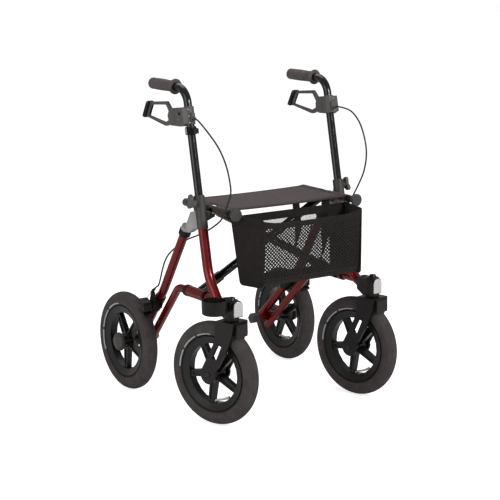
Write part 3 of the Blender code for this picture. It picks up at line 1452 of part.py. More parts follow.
def cane_cup(finishes):
    """The open cup for a walking stick's foot, with the lug that joins it to the caster housing."""
    x, y = CUP_CENTRE
    low = 0.0030
    height = CUP_TOP - CUP_BOTTOM
    profile = [
        (0, 0),
        (0, CUP_RADIUS - 0.004),
        (low, CUP_RADIUS - 0.001),
        (height - 0.006, CUP_RADIUS),
        (height, CUP_RADIUS),
        (height, CUP_RADIUS - CUP_WALL),
        (low, CUP_RADIUS - CUP_WALL - 0.001),
        (low, 0),
    ]
    obj = solid("cane_cup", turned(profile, (x, y, CUP_BOTTOM), (0, 0, 1), 20), finishes["plastic"])
    rim = x + CUP_RADIUS - 0.0020
    add(obj, block((rim, y - 0.0080, CUP_BOTTOM + 0.0060), (-STEER_X, y + 0.0080, CUP_BOTTOM + 0.0300)))
    housing = ((-STEER_X, STEER_Y, HOUSING_BOTTOM - 0.01), (-STEER_X, STEER_Y, HOUSING_TOP + 0.02))
    return cut(obj, rod(*housing, HOUSING_RADIUS + 2 * CLEARANCE, HOUSING_STEPS))


def cane_clip(finishes):
    """The collar on the right handle post, with a clamp block and a hollowed rest for the stick."""
    seat = post_point(CLIP_HEIGHT, -1)
    along = post_axis()
    half = CLIP_LENGTH / 2
    collar = rod(seat - along * half, seat + along * half, POST_RADIUS + 0.0045, 16)
    obj = solid("cane_clip", collar, finishes["plastic"])
    front = [(seat.y - 0.0290, seat.z - half + 0.006), (seat.y, seat.z - half + 0.002)]
    front += [(seat.y, seat.z + half - 0.002), (seat.y - 0.0270, seat.z + half - 0.002)]
    add(obj, side_plate(front, FRAME_X - 0.0085, FRAME_X + 0.0085, -1))
    rest = [(seat.y - 0.0130, seat.z - half + 0.001), (seat.y + 0.0085, seat.z - half + 0.001)]
    rest += [(seat.y + 0.0105, seat.z + half - 0.001), (seat.y - 0.0100, seat.z + half - 0.001)]
    add(obj, side_plate(rest, FRAME_X + 0.0040, FRAME_X + POST_RADIUS + 0.0030, -1))
    stick = Vector((-FRAME_X - POST_RADIUS - 0.0125, seat.y, seat.z))
    lean = Vector((0.045, 0.21, 0.45)).normalized()
    cut(obj, rod(stick - lean * 0.05, stick + lean * 0.05, 0.0120, 16))
    return cut(obj, rod(post_point(0.75, -1), post_point(0.90, -1), POST_RADIUS + CLEARANCE))


def main():
    """Builds the whole rollator."""
    clear_scene()
    finishes = make_finishes()
    for name, side in SIDES:
        front_leg(name, side, finishes)
        rear_leg(name, side, finishes)
        lower_rail(name, side, finishes)
        leg_bracket(name, side, finishes)
        post_socket(name, side, finishes)
        clamp_knob(name, side, finishes)
        caster_housing(name, side, finishes)
        caster(name, side, finishes)
        rear_wheel_set(name, side, finishes)
        rear_axle(name, side, finishes)
        handle_post(name, side, finishes)
        grip(name, side, finishes)
        lever_housing(name, side, finishes)
        brake_lever(name, side, finishes)
        brake_cable(name, side, finishes)
        brake_bracket(name, side, finishes)
        brake_arm(name, side, finishes)
        carrier, place = seat_rail(name, side, finishes)
        basket_side(name, side, carrier, place, finishes)
    cross_arm("a", -1, finishes)
    cross_arm("b", 1, finishes)
    cross_pivot(finishes)
    seat(finishes)
    basket_net(finishes)
    cane_cup(finishes)
    cane_clip(finishes)


main()
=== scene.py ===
"""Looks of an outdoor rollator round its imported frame: finishes, cloth, tyres, cables and a plain studio."""

import json
import logging
from collections.abc import Callable, Iterable, Sequence
from dataclasses import dataclass, field
from enum import Enum
from itertools import product
from math import atan2, cos, hypot, pi, radians, sin, sqrt, tan

import bmesh
import bpy
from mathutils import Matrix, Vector

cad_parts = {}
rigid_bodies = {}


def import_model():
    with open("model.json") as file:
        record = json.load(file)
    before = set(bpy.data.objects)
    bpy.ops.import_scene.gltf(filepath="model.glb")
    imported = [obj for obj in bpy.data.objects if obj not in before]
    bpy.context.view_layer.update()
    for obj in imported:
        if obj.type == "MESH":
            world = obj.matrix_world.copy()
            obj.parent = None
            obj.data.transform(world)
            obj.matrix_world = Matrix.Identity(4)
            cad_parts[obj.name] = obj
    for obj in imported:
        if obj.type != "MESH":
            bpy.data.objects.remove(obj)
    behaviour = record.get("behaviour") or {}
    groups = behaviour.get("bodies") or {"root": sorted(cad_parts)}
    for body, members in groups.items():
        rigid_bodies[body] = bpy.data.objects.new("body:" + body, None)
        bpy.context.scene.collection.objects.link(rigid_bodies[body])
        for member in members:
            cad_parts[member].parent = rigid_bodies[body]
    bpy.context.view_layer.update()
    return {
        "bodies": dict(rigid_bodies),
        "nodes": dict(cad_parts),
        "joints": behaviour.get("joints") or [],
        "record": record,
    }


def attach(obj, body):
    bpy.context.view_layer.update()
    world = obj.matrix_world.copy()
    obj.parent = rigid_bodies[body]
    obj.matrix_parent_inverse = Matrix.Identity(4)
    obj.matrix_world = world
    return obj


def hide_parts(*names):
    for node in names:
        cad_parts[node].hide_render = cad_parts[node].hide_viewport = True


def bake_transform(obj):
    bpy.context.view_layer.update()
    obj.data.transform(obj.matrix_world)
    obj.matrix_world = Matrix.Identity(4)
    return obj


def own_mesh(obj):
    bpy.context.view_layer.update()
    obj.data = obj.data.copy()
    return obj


Material = bpy.types.Material
Piece = bpy.types.Object
Point = bmesh.types.BMVert
Socket = bpy.types.NodeSocket
Pair = tuple[float, float]
Triple = tuple[float, float, float]
Place = Callable[[float, float, float], Vector]

LOG = logging.getLogger("rollator")
UP = Vector((0.0, 0.0, 1.0))
BACK = Vector((0.0, 1.0, 0.0))

# Sizes that several assemblies share

FRAME_X = 0.2535
POST_LEAN = radians(12.0)
POST_Y, POST_Z = -0.1224, 0.6000
GRIP_Z = 0.9550
LOWER_RAIL_Z = 0.3580
SEAT_RAIL_X, SEAT_RAIL_Z = 0.2175, 0.6100
WHEEL_RADIUS = 0.1525
AXLE = (0.2263, WHEEL_RADIUS)


class Side(Enum):
    """The user's right side, which is the near one in the photograph, and the left one."""

    RIGHT = -1
    LEFT = 1

    def __str__(self) -> str:
        """The side's word in the names of pieces, nodes and bodies."""
        return self.name.lower()

    @property
    def out(self) -> Vector:
        """The direction away from the middle."""
        return Vector((self.value, 0.0, 0.0))

    def at(self, x: float, y: float, z: float) -> Vector:
        """A point given by its distance from the middle."""
        return Vector((self.value * x, y, z))

    def on_post(self, z: float) -> Vector:
        """The point of the handle post's straight line at a height."""
        return self.at(FRAME_X, POST_Y + (z - POST_Z) * tan(POST_LEAN), z)


# Mesh making


def linked(name: str, data: bpy.types.ID) -> Piece:
    """Adds an object to the scene.

    Args:
        name: the object's name.
        data: its mesh, camera or light data.

    Returns:
        The object.
    """
    thing = bpy.data.objects.new(name, data)
    bpy.context.scene.collection.objects.link(thing)
    return thing


def square_to(axis: Vector) -> tuple[Vector, Vector]:
    """Finds two unit vectors square to an axis and to each other.

    Args:
        axis: the unit axis.

    Returns:
        Both vectors.
    """
    helper = UP if abs(axis.z) < 0.9 else Vector((1.0, 0.0, 0.0))
    first = (helper - axis * helper.dot(axis)).normalized()
    return first, axis.cross(first)


def circle(centre: Vector, across: tuple[Vector, Vector], radius: float, steps: int) -> list[Vector]:
    """The points of a circle in the plane of two directions."""
    turns = (2 * pi * k / steps for k in range(steps))
    return [centre + (across[0] * cos(turn) + across[1] * sin(turn)) * radius for turn in turns]


def arc(radius: float, start: float, end: float, steps: int) -> list[Pair]:
    """The points of a flat arc between two angles in degrees."""
    turns = [radians(start + (end - start) * k / steps) for k in range(steps + 1)]
    return [(radius * cos(turn), radius * sin(turn)) for turn in turns]


def collar(length: float, inner: float, outer: float, edge: float = 0.0010) -> list[Pair]:
    """The profile of a turned ring with bevelled outer edges."""
    edges = [(0.0, outer - edge), (edge, outer), (length - edge, outer), (length, outer - edge)]
    return [(0.0, inner), *edges, (length, inner)]


def bent_run(corners: Sequence[Vector], radii: Sequence[float], steps: int = 20) -> list[Vector]:
    """Makes a path through straight runs whose corners are arcs.

    Args:
        corners: the points at which the straight runs meet, with both ends.
        radii: the radius of each bend.
        steps: the points of each bend.

    Returns:
        The path's points.
    """
    path = [corners[0]]
    for before, corner, after, radius in zip(corners, corners[1:], corners[2:], radii):
        into, out = (corner - before).normalized(), (after - corner).normalized()
        half = into.angle(out) / 2
        centre = corner + (out - into).normalized() * radius / cos(half)
        start = (corner - into * radius * tan(half) - centre).normalized()
        end = (corner + out * radius * tan(half) - centre).normalized()
        path += [centre + start.slerp(end, k / steps) * radius for k in range(steps + 1)]
    return path + [corners[-1]]


def smooth_route(route: Sequence[Vector], spacing: float, steps: int = 24) -> list[Vector]:
    """Makes points at a steady spacing on a smooth curve through given points.

    Args:
        route: the points that the curve passes.
        spacing: the distance between the points returned.
        steps: the trial points between two of the route.

    Returns:
        The curve's points, with both ends.
    """
    ends = [route[0] * 2 - route[1], *route, route[-1] * 2 - route[-2]]
    dense = []
    for a, b, c, d in zip(ends, ends[1:], ends[2:], ends[3:]):
        for t in (k / steps for k in range(steps)):
            square, cube = 2 * a - 5 * b + 4 * c - d, 3 * b - 3 * c + d - a
            dense.append(0.5 * (2 * b + (c - a) * t + square * t**2 + cube * t**3))
    dense.append(route[-1])
    path, travelled = [dense[0]], 0.0
    for before, after in zip(dense, dense[1:]):
        travelled += (after - before).length
        if travelled >= spacing:
            path.append(after)
            travelled = 0.0
    if (path[-1] - dense[-1]).length < spacing / 2:
        path.pop()
    return [*path, dense[-1]]


class Form:
    """A mesh being built."""

    def __init__(self) -> None:
        """Starts an empty mesh."""
        self.mesh = bmesh.new()

    def ring(self, points: Iterable[Vector]) -> list[Point]:
        """Adds points in order."""
        return [self.mesh.verts.new(point) for point in points]

    def face(self, corners: Sequence[Point], slot: int = 0) -> None:
        """Adds a face with a material index."""
        self.mesh.faces.new(corners).material_index = slot

    def bridge(self, rings: Sequence[Sequence[Point]], slot: int = 0, closed: bool = False) -> None:
        """Joins closed rings of points with quads.

        Args:
            rings: the rings in order, with the same number of points each.
            slot: the quads' material index.
            closed: whether the first ring and the last get a face.
        """
        for low, high in zip(rings, rings[1:]):
            for k, corner in enumerate(low):
                after = (k + 1) % len(low)
                self.face((corner, low[after], high[after], high[k]), slot)
        if closed:
            self.face(rings[0][::-1])
            self.face(rings[-1])

    def turned(self, profile: Sequence[Pair], start: Vector, axis: Vector, steps: int = 48) -> None:
        """Adds a turned form.

        Args:
            profile: distance along the axis and radius of each ring; a last radius of 0 closes the end.
            start: the point at distance 0.
            axis: the unit axis.
            steps: the points of each ring.
        """
        across = square_to(axis)
        rings = [self.ring(circle(start + axis * far, across, radius, steps))
                 for far, radius in profile if radius > 0]
        self.bridge(rings)
        if profile[-1][1] == 0:
            (tip,), last = self.ring([start + axis * profile[-1][0]]), rings[-1]
            for k, corner in enumerate(last):
                self.face((corner, last[(k + 1) % steps], tip))

    def tube(self, path: Sequence[Vector], radii: float | Sequence[float], sides: int = 40,
             caps: tuple[bool, bool] = (True, True)) -> None:
        """Adds a round tube along a path.

        Args:
            path: the points of its centre line.
            radii: one radius, or one for each point.
            sides: the points of each ring.
            caps: whether its start and its end are closed.
        """
        radii = [radii] * len(path) if isinstance(radii, float) else radii
        first = square_to((path[1] - path[0]).normalized())[0]
        rings = []
        for k, (point, radius) in enumerate(zip(path, radii)):
            along = (path[min(k + 1, len(path) - 1)] - path[max(k - 1, 0)]).normalized()
            first = (first - along * first.dot(along)).normalized()
            rings.append(self.ring(circle(point, (first, along.cross(first)), radius, sides)))
        self.bridge(rings)
        for capped, end in zip(caps, (rings[0][::-1], rings[-1])):
            if capped:
                self.face(end)

    def lattice(self, columns: int, rows: int, place: Callable[[float, float], Vector]) -> list[list[Point]]:
        """Adds a grid of quads.

        Args:
            columns: the faces across.
            rows: the faces along.
            place: gives the point of shares u and v, both from 0 to 1.

        Returns:
            The grid's points, row by row.
        """
        grid = [self.ring(place(u / columns, v / rows) for u in range(columns + 1)) for v in range(rows + 1)]
        for low, high in zip(grid, grid[1:]):
            for k in range(columns):
                self.face((low[k], low[k + 1], high[k + 1], high[k]))
        return grid

    def slab(self, columns: int, rows: int, place: Place) -> None:
        """Adds a closed thin slab.

        Args:
            columns: the faces across.
            rows: the faces along.
            place: gives the point of shares u, v and w, where w is 0 on one face and 1 on the other.
        """
        rims = []
        for w in (0.0, 1.0):
            grid = self.lattice(columns, rows, lambda u, v: place(u, v, w))
            ends = [[row[-1] for row in grid[1:-1]], [row[0] for row in grid[-2:0:-1]]]
            rims.append(grid[0] + ends[0] + grid[-1][::-1] + ends[1])
        self.bridge(rims)

    def piece(self, name: str, materials: Sequence[Material], sharp: float = 35.0) -> Piece:
        """Turns the finished form into an object.

        Args:
            name: the object's name.
            materials: the material of each face index.
            sharp: the angle in degrees above which an edge stays sharp.

        Returns:
            The object.
        """
        bmesh.ops.recalc_face_normals(self.mesh, faces=self.mesh.faces)
        mesh = bpy.data.meshes.new(name)
        self.mesh.to_mesh(mesh)
        self.mesh.free()
        for material in materials:
            mesh.materials.append(material)
        mesh.shade_smooth()
        mesh.set_sharp_from_angle(angle=radians(sharp))
        return linked(name, mesh)


# Finishes


class NodeSheet:
    """A node material being built, with short calls for the nodes that the finishes share."""

    MIDDLE = (0.3, 0.7)

    def __init__(self, name: str) -> None:
        """Starts a material whose patterns follow the object's own coordinates.

        Args:
            name: the material's name.
        """
        self.material = bpy.data.materials.new(name)
        self.material.use_nodes = True
        self.tree = self.material.node_tree
        self.shader = self.tree.nodes["Principled BSDF"]
        self.place = self.add("TexCoord").outputs["Object"]

    def feed(self, socket: Socket, value: object) -> None:
        """Links a socket to another, or sets its number or colour.

        Args:
            socket: the input.
            value: an output socket, a number or a colour.
        """
        if isinstance(value, Socket):
            self.tree.links.new(value, socket)
        else:
            socket.default_value = (*value, 1.0) if socket.type == "RGBA" and len(value) == 3 else value

    def add(self, kind: str, given: dict[str | int, object] | None = None,
            **settings: object) -> bpy.types.Node:
        """Adds a node.

        Args:
            kind: the node type without its common prefix.
            given: the value or link of each input.
            settings: the node's own settings.

        Returns:
            The node.
        """
        node = self.tree.nodes.new("ShaderNode" + kind)
        for name, value in settings.items():
            setattr(node, name, value)
        for socket, value in (given or {}).items():
            self.feed(node.inputs[socket], value)
        return node

    def noise(self, scale: float, detail: float, stretch: Triple | None = None) -> Socket:
        """A noise pattern by its repeats in a metre and its octaves, stretched along the axes if asked."""
        place = (self.add("Mapping", {"Vector": self.place, "Scale": stretch}).outputs[0]
                 if stretch else self.place)
        return self.add("TexNoise", {"Vector": place, "Scale": scale, "Detail": detail}).outputs[0]

    def spread(self, value: Socket, span: Pair = MIDDLE, out: Pair = (0.0, 1.0)) -> Socket:
        """A value mapped from one range to another and held inside it."""
        return self.add("MapRange", dict(enumerate((value, *span, *out)))).outputs[0]

    def patches(self, scale: float, detail: float, out: Pair = (0.0, 1.0), span: Pair = MIDDLE) -> Socket:
        """A noise pattern spread over a range."""
        return self.spread(self.noise(scale, detail), span, out)

    def maths(self, operation: str, first: object, second: object) -> Socket:
        """The result of a maths operation on two values."""
        return self.add("Math", {0: first, 1: second}, operation=operation).outputs[0]

    def tint(self, share: Socket, low: Triple, high: Triple) -> Socket:
        """A colour between two, by a share from 0 to 1."""
        return self.add("Mix", {0: share, 6: low, 7: high}, data_type="RGBA").outputs[2]

    def set(self, **values: object) -> None:
        """Sets or links the shader's inputs, whose names have underscores for spaces."""
        for name, value in values.items():
            self.feed(self.shader.inputs[name.replace("_", " ")], value)

    def relief(self, height: Socket, depth: float) -> None:
        """Raises the surface by a pattern, up to a depth in metres."""
        bump = self.add("Bump", {"Height": height, "Distance": depth, "Strength": 1.0})
        self.feed(self.shader.inputs["Normal"], bump.outputs[0])


def shade(colour: Triple, factor: float) -> Triple:
    """A colour made lighter or darker."""
    return tuple(channel * factor for channel in colour)


def about(value: float, below: float, above: float) -> Pair:
    """A range round a value."""
    return (value - below, value + above)


@dataclass(frozen=True)
class Paint:
    """Sprayed paint on a tube: fine flakes under a clear coat with a faint ripple and light scuffs."""

    colour: Triple
    flake: Triple
    metallic: float
    roughness: float
    coat: float
    flakes: float = 0.5
    ripple: float = 0.00002

    def dress(self, sheet: NodeSheet) -> None:
        """Adds the nodes.

        Args:
            sheet: the empty sheet.
        """
        flakes = sheet.patches(3600.0, 1.0, (0.0, self.flakes), (0.50, 0.75))
        share = sheet.maths("MAXIMUM", flakes, sheet.patches(9.0, 4.0, (0.0, 0.35)))
        scuffs = sheet.patches(70.0, 8.0, about(self.roughness, 0.05, 0.12), (0.35, 0.75))
        sheet.set(Base_Color=sheet.tint(share, self.colour, self.flake), Metallic=self.metallic,
                  Roughness=scuffs, Coat_Weight=self.coat, Coat_Roughness=0.12)
        sheet.relief(sheet.noise(240.0, 2.0), self.ripple)


@dataclass(frozen=True)
class Moulding:
    """Moulded plastic: an even fine grain, slight tone changes and rubbed spots with more shine."""

    colour: Triple
    roughness: float
    grain: float = 900.0
    depth: float = 0.00005
    shine: float = 0.5

    def dress(self, sheet: NodeSheet) -> None:
        """Adds the nodes.

        Args:
            sheet: the empty sheet.
        """
        tone = sheet.tint(sheet.patches(26.0, 6.0), shade(self.colour, 0.86), shade(self.colour, 1.14))
        rubbed = sheet.patches(45.0, 5.0, about(self.roughness, -0.06, -0.10), (0.35, 0.72))
        sheet.set(Base_Color=tone, Roughness=rubbed, Specular_IOR_Level=self.shine)
        pits = sheet.add("TexVoronoi", {"Vector": sheet.place, "Scale": self.grain}).outputs["Distance"]
        sheet.relief(pits, self.depth)


@dataclass(frozen=True)
class Rubber:
    """Dull rubber with a dusty bloom and a fine grain."""

    colour: Triple
    dust: Triple
    roughness: float
    depth: float = 0.00008
    shine: float = 0.3

    def dress(self, sheet: NodeSheet) -> None:
        """Adds the nodes.

        Args:
            sheet: the empty sheet.
        """
        bloom = sheet.patches(38.0, 8.0, (0.0, 0.8), (0.42, 0.75))
        rough = sheet.patches(90.0, 4.0, about(self.roughness, 0.07, 0.07))
        sheet.set(Base_Color=sheet.tint(bloom, self.colour, self.dust), Roughness=rough,
                  Specular_IOR_Level=self.shine)
        sheet.relief(sheet.noise(1300.0, 3.0), self.depth)


@dataclass(frozen=True)
class Woven:
    """Woven cloth: crossed threads with slubs, a soft sheen and uneven dye."""

    colour: Triple
    pitch: float
    depth: float
    axes: tuple[int, int] = (0, 1)
    streak: float = 0.25
    sheen: float = 0.25

    def threads(self, sheet: NodeSheet, axis: int, shift: float) -> Socket:
        """The height of the threads square to the axis of an index, with their wave turned by radians."""
        given = {"Vector": sheet.place, "Scale": 0.31416 / self.pitch, "Distortion": 0.6, "Detail": 1.0,
                 "Detail Scale": 60.0, "Phase Offset": shift}
        return sheet.add("TexWave", given, bands_direction="XYZ"[axis]).outputs["Fac"]

    def dress(self, sheet: NodeSheet) -> None:
        """Adds the nodes.

        Args:
            sheet: the empty sheet.
        """
        first, second = (self.threads(sheet, axis, shift) for axis, shift in zip(self.axes, (0.0, 1.5)))
        weave = sheet.maths("MULTIPLY", first, second)
        stretch = tuple(110.0 if axis == self.axes[1] else 3.0 for axis in range(3))
        streaks = sheet.spread(sheet.noise(1.0, 5.0, stretch), out=(0.0, self.streak))
        uneven = sheet.maths("ADD", streaks, sheet.patches(14.0, 5.0, (0.0, 0.35)))
        share = sheet.maths("ADD", sheet.maths("MULTIPLY", weave, 0.55), uneven)
        sheet.set(Base_Color=sheet.tint(share, shade(self.colour, 0.62), shade(self.colour, 1.38)),
                  Roughness=sheet.patches(60.0, 4.0, (0.68, 0.86)), Specular_IOR_Level=0.3,
                  Sheen_Weight=self.sheen, Sheen_Roughness=0.45)
        sheet.relief(weave, self.depth)


@dataclass(frozen=True)
class Steel:
    """Drawn or zinc-plated steel with fine brushed lines."""

    colour: Triple
    roughness: float

    def dress(self, sheet: NodeSheet) -> None:
        """Adds the nodes.

        Args:
            sheet: the empty sheet.
        """
        lines = sheet.noise(1.0, 6.0, (60.0, 900.0, 900.0))
        tone = sheet.tint(sheet.spread(lines), shade(self.colour, 0.8), self.colour)
        rough = sheet.spread(lines, out=about(self.roughness, 0.06, 0.10))
        sheet.set(Base_Color=tone, Metallic=1.0, Roughness=rough)
        sheet.relief(lines, 0.00002)


@dataclass(frozen=True)
class Lens:
    """A clear reflector lens: glossy face over a fine grid of prisms."""

    colour: Triple
    cell: float = 0.0022

    def dress(self, sheet: NodeSheet) -> None:
        """Adds the nodes.

        Args:
            sheet: the empty sheet.
        """
        given = {"Vector": sheet.place, "Scale": 1.0 / self.cell}
        cells = sheet.add("TexVoronoi", given, feature="F1", distance="CHEBYCHEV").outputs["Distance"]
        tone = sheet.tint(sheet.spread(cells, (0.1, 0.7)), self.colour, shade(self.colour, 0.62))
        sheet.set(Base_Color=tone, Roughness=0.22, Coat_Weight=1.0, Coat_Roughness=0.05,
                  Specular_IOR_Level=0.7)
        sheet.relief(cells, 0.0004)


class Finish(Enum):
    """Every finish of the rollator."""

    RED_TUBE = Paint((0.150, 0.0010, 0.0015), (0.32, 0.006, 0.006), 0.50, 0.25, 0.26)
    BLACK_TUBE = Paint((0.0030, 0.0023, 0.0019), (0.0090, 0.0072, 0.0062), 0.10, 0.16, 0.24, 0.2)
    BLACK_MOULDING = Moulding((0.0080, 0.0056, 0.0048), 0.44, shine=0.27)
    FORK_MOULDING = Moulding((0.0068, 0.0044, 0.0038), 0.36, shine=0.36)
    WHEEL_MOULDING = Moulding((0.0070, 0.0054, 0.0048), 0.33, 700.0, shine=0.40)
    DARK_GREY_MOULDING = Moulding((0.050, 0.046, 0.044), 0.50)
    MID_GREY_MOULDING = Moulding((0.092, 0.083, 0.081), 0.50)
    PALE_GREY_MOULDING = Moulding((0.37, 0.355, 0.35), 0.50)
    GRIP_RUBBER = Rubber((0.094, 0.080, 0.078), (0.125, 0.108, 0.105), 0.66)
    TYRE_RUBBER = Rubber((0.053, 0.0445, 0.0430), (0.084, 0.071, 0.070), 0.74)
    # Darker colour for the tyre's foot beside the rim: painted shade between tyre and rim
    TYRE_WALL_RUBBER = Rubber((0.0180, 0.0145, 0.0135), (0.031, 0.026, 0.025), 0.66, 0.00004, 0.18)
    PAD_RUBBER = Rubber((0.0085, 0.0070, 0.0065), (0.018, 0.015, 0.014), 0.60, shine=0.2)
    REFLECTIVE_LINE = Moulding((0.40, 0.43, 0.44), 0.35)
    CABLE_JACKET = Moulding((0.014, 0.0135, 0.013), 0.38)
    PLATED_STEEL = Steel((0.56, 0.55, 0.54), 0.34)
    DARK_STEEL = Steel((0.060, 0.055, 0.052), 0.38)
    VALVE_PLATING = Moulding((0.66, 0.64, 0.58), 0.32, shine=0.6)
    REFLECTOR_LENS = Lens((0.74, 0.72, 0.71))
    SEAT_CLOTH = Woven((0.057, 0.034, 0.033), 0.0016, 0.0002, sheen=0.10)
    SEAT_TAPE = Woven((0.048, 0.029, 0.028), 0.0011, 0.0002, sheen=0.10)
    PULL_STRAP = Woven((0.017, 0.0062, 0.0060), 0.0012, 0.0002, (0, 2), 0.2, 0.05)
    BOARD_CLOTH = Woven((0.0122, 0.0086, 0.0070), 0.0014, 0.0002, (1, 2), 0.35, 0.07)
    NET_THREAD = Woven((0.0145, 0.0106, 0.0092), 0.0011, 0.0001, (0, 2), 0.1, 0.05)
    EDGE_TAPE = Woven((0.0112, 0.0080, 0.0068), 0.0011, 0.0002, (0, 2), 0.15, 0.05)
    SEWING_THREAD = Rubber((0.080, 0.062, 0.063), (0.11, 0.088, 0.088), 0.6)

    def make(self) -> Material:
        """Builds the finish's material.

        Returns:
            The material.
        """
        sheet = NodeSheet(self.name.lower())
        self.value.dress(sheet)
        return sheet.material


@dataclass
class Job:
    """What every assembly needs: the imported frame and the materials, each made once."""

    frame: dict
    materials: dict[Finish, Material]
    bodies: dict[str, str] = field(init=False)

    def __post_init__(self) -> None:
        """Notes which body carries each node."""
        groups = self.frame["record"]["behaviour"]["bodies"]
        self.bodies = {node: body for body, nodes in groups.items() for node in nodes}

    def joint(self, name: str) -> dict:
        """The record's joint of a name."""
        return next(joint for joint in self.frame["joints"] if joint["name"] == name)

    def make(self, name: str, form: Form, *finishes: Finish, sharp: float = 35.0) -> Piece:
        """Turns a form into a piece with its finish for each face index."""
        LOG.info("%s built", name)
        return form.piece(name, [self.materials[finish] for finish in finishes], sharp)

    def add(self, name: str, form: Form, *finishes: Finish, slot: str, on: str, node: str = "",
            sharp: float = 35.0) -> Piece:
        """Turns a form into a piece that rides on a body.

        Args:
            name: the piece's name.
            form: the finished form.
            finishes: the finish of each face index.
            slot: the record's material slot; not used.
            on: the body, or a node that it carries.
            node: the node that the piece stands for.
            sharp: the angle in degrees above which an edge stays sharp.

        Returns:
            The piece.
        """
        piece = self.make(name, form, *finishes, sharp=sharp)
        if node:
            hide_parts(node)
        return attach(piece, self.bodies.get(on, on))


@dataclass
class Assembly:
    """The pieces of one kind on one side."""

    job: Job
    side: Side

    def stand_in(self, name: str, node: str, form: Form, finish: Finish, slot: str,
                 sharp: float = 35.0) -> None:
        """Adds a piece for a node of this side, whose word completes both names."""
        node = f"{node}_{self.side}"
        self.job.add(f"{name}_{self.side}", form, finish, slot=slot, on=node, node=node, sharp=sharp)


# Nodes that stay as packed


@dataclass
class PackedNodes:
    """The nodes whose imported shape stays: they get softened edges and their finish."""

    job: Job
    edge: float = 0.0009
    fine_edge: float = 0.00045
    weld: float = 0.00001
    edge_angle: float = radians(38.0)
    split_angle: float = radians(48.0)
    finishes: dict[Finish, tuple[str, ...]] = field(default_factory=lambda: {
        Finish.FORK_MOULDING: ("fork", "caster_housing"),
        Finish.WHEEL_MOULDING: ("front_wheel", "rear_wheel"),
        Finish.DARK_GREY_MOULDING: ("hub_cap", "rear_axle", "post_socket", "rail_tip"),
        Finish.DARK_STEEL: ("front_axle",),
        Finish.REFLECTOR_LENS: ("reflector",),
        Finish.PALE_GREY_MOULDING: ("leg_bracket",),
        Finish.MID_GREY_MOULDING: ("clamp_knob", "lever_housing", "brake_lever"),
        Finish.BLACK_MOULDING: ("brake_bracket", "brake_arm", "cane_clip", "cane_cup"),
        Finish.BLACK_TUBE: ("seat_rail", "cross_arm"),
        Finish.PLATED_STEEL: ("cross_pivot",),
    })
    fine: tuple[str, ...] = ("brake_arm", "brake_bracket", "cross_pivot", "front_axle", "cane_clip",
                             "cane_cup", "reflector")

    def soften(self, node: Piece, width: float) -> None:
        """Welds a node's triangles, rounds its edges a little and smooths its shading.

        Args:
            node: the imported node, whose own points stay as they are.
            width: the width of the rounding.
        """
        for attribute in ("custom_normal", "sharp_edge"):
            if found := node.data.attributes.get(attribute):
                node.data.attributes.remove(found)
        node.data.polygons.foreach_set("use_smooth", [True] * len(node.data.polygons))
        node.modifiers.new("weld", "WELD").merge_threshold = self.weld
        bevel = node.modifiers.new("edges", "BEVEL")
        bevel.limit_method, bevel.angle_limit = "ANGLE", self.edge_angle
        bevel.width, bevel.segments = width, 2
        node.modifiers.new("split", "EDGE_SPLIT").split_angle = self.split_angle
        node.modifiers.new("shading", "WEIGHTED_NORMAL")

    def dress(self) -> None:
        """Finishes every node that has an entry and isn't replaced."""
        for name, node in self.job.frame["nodes"].items():
            for finish, kinds in self.finishes.items():
                if name.startswith(kinds) and not node.hide_render:
                    self.soften(node, self.fine_edge if name.startswith(self.fine) else self.edge)
                    node.data.materials.clear()
                    node.data.materials.append(self.job.materials[finish])
                    LOG.info("%s dressed", name)


# Tubes and handles


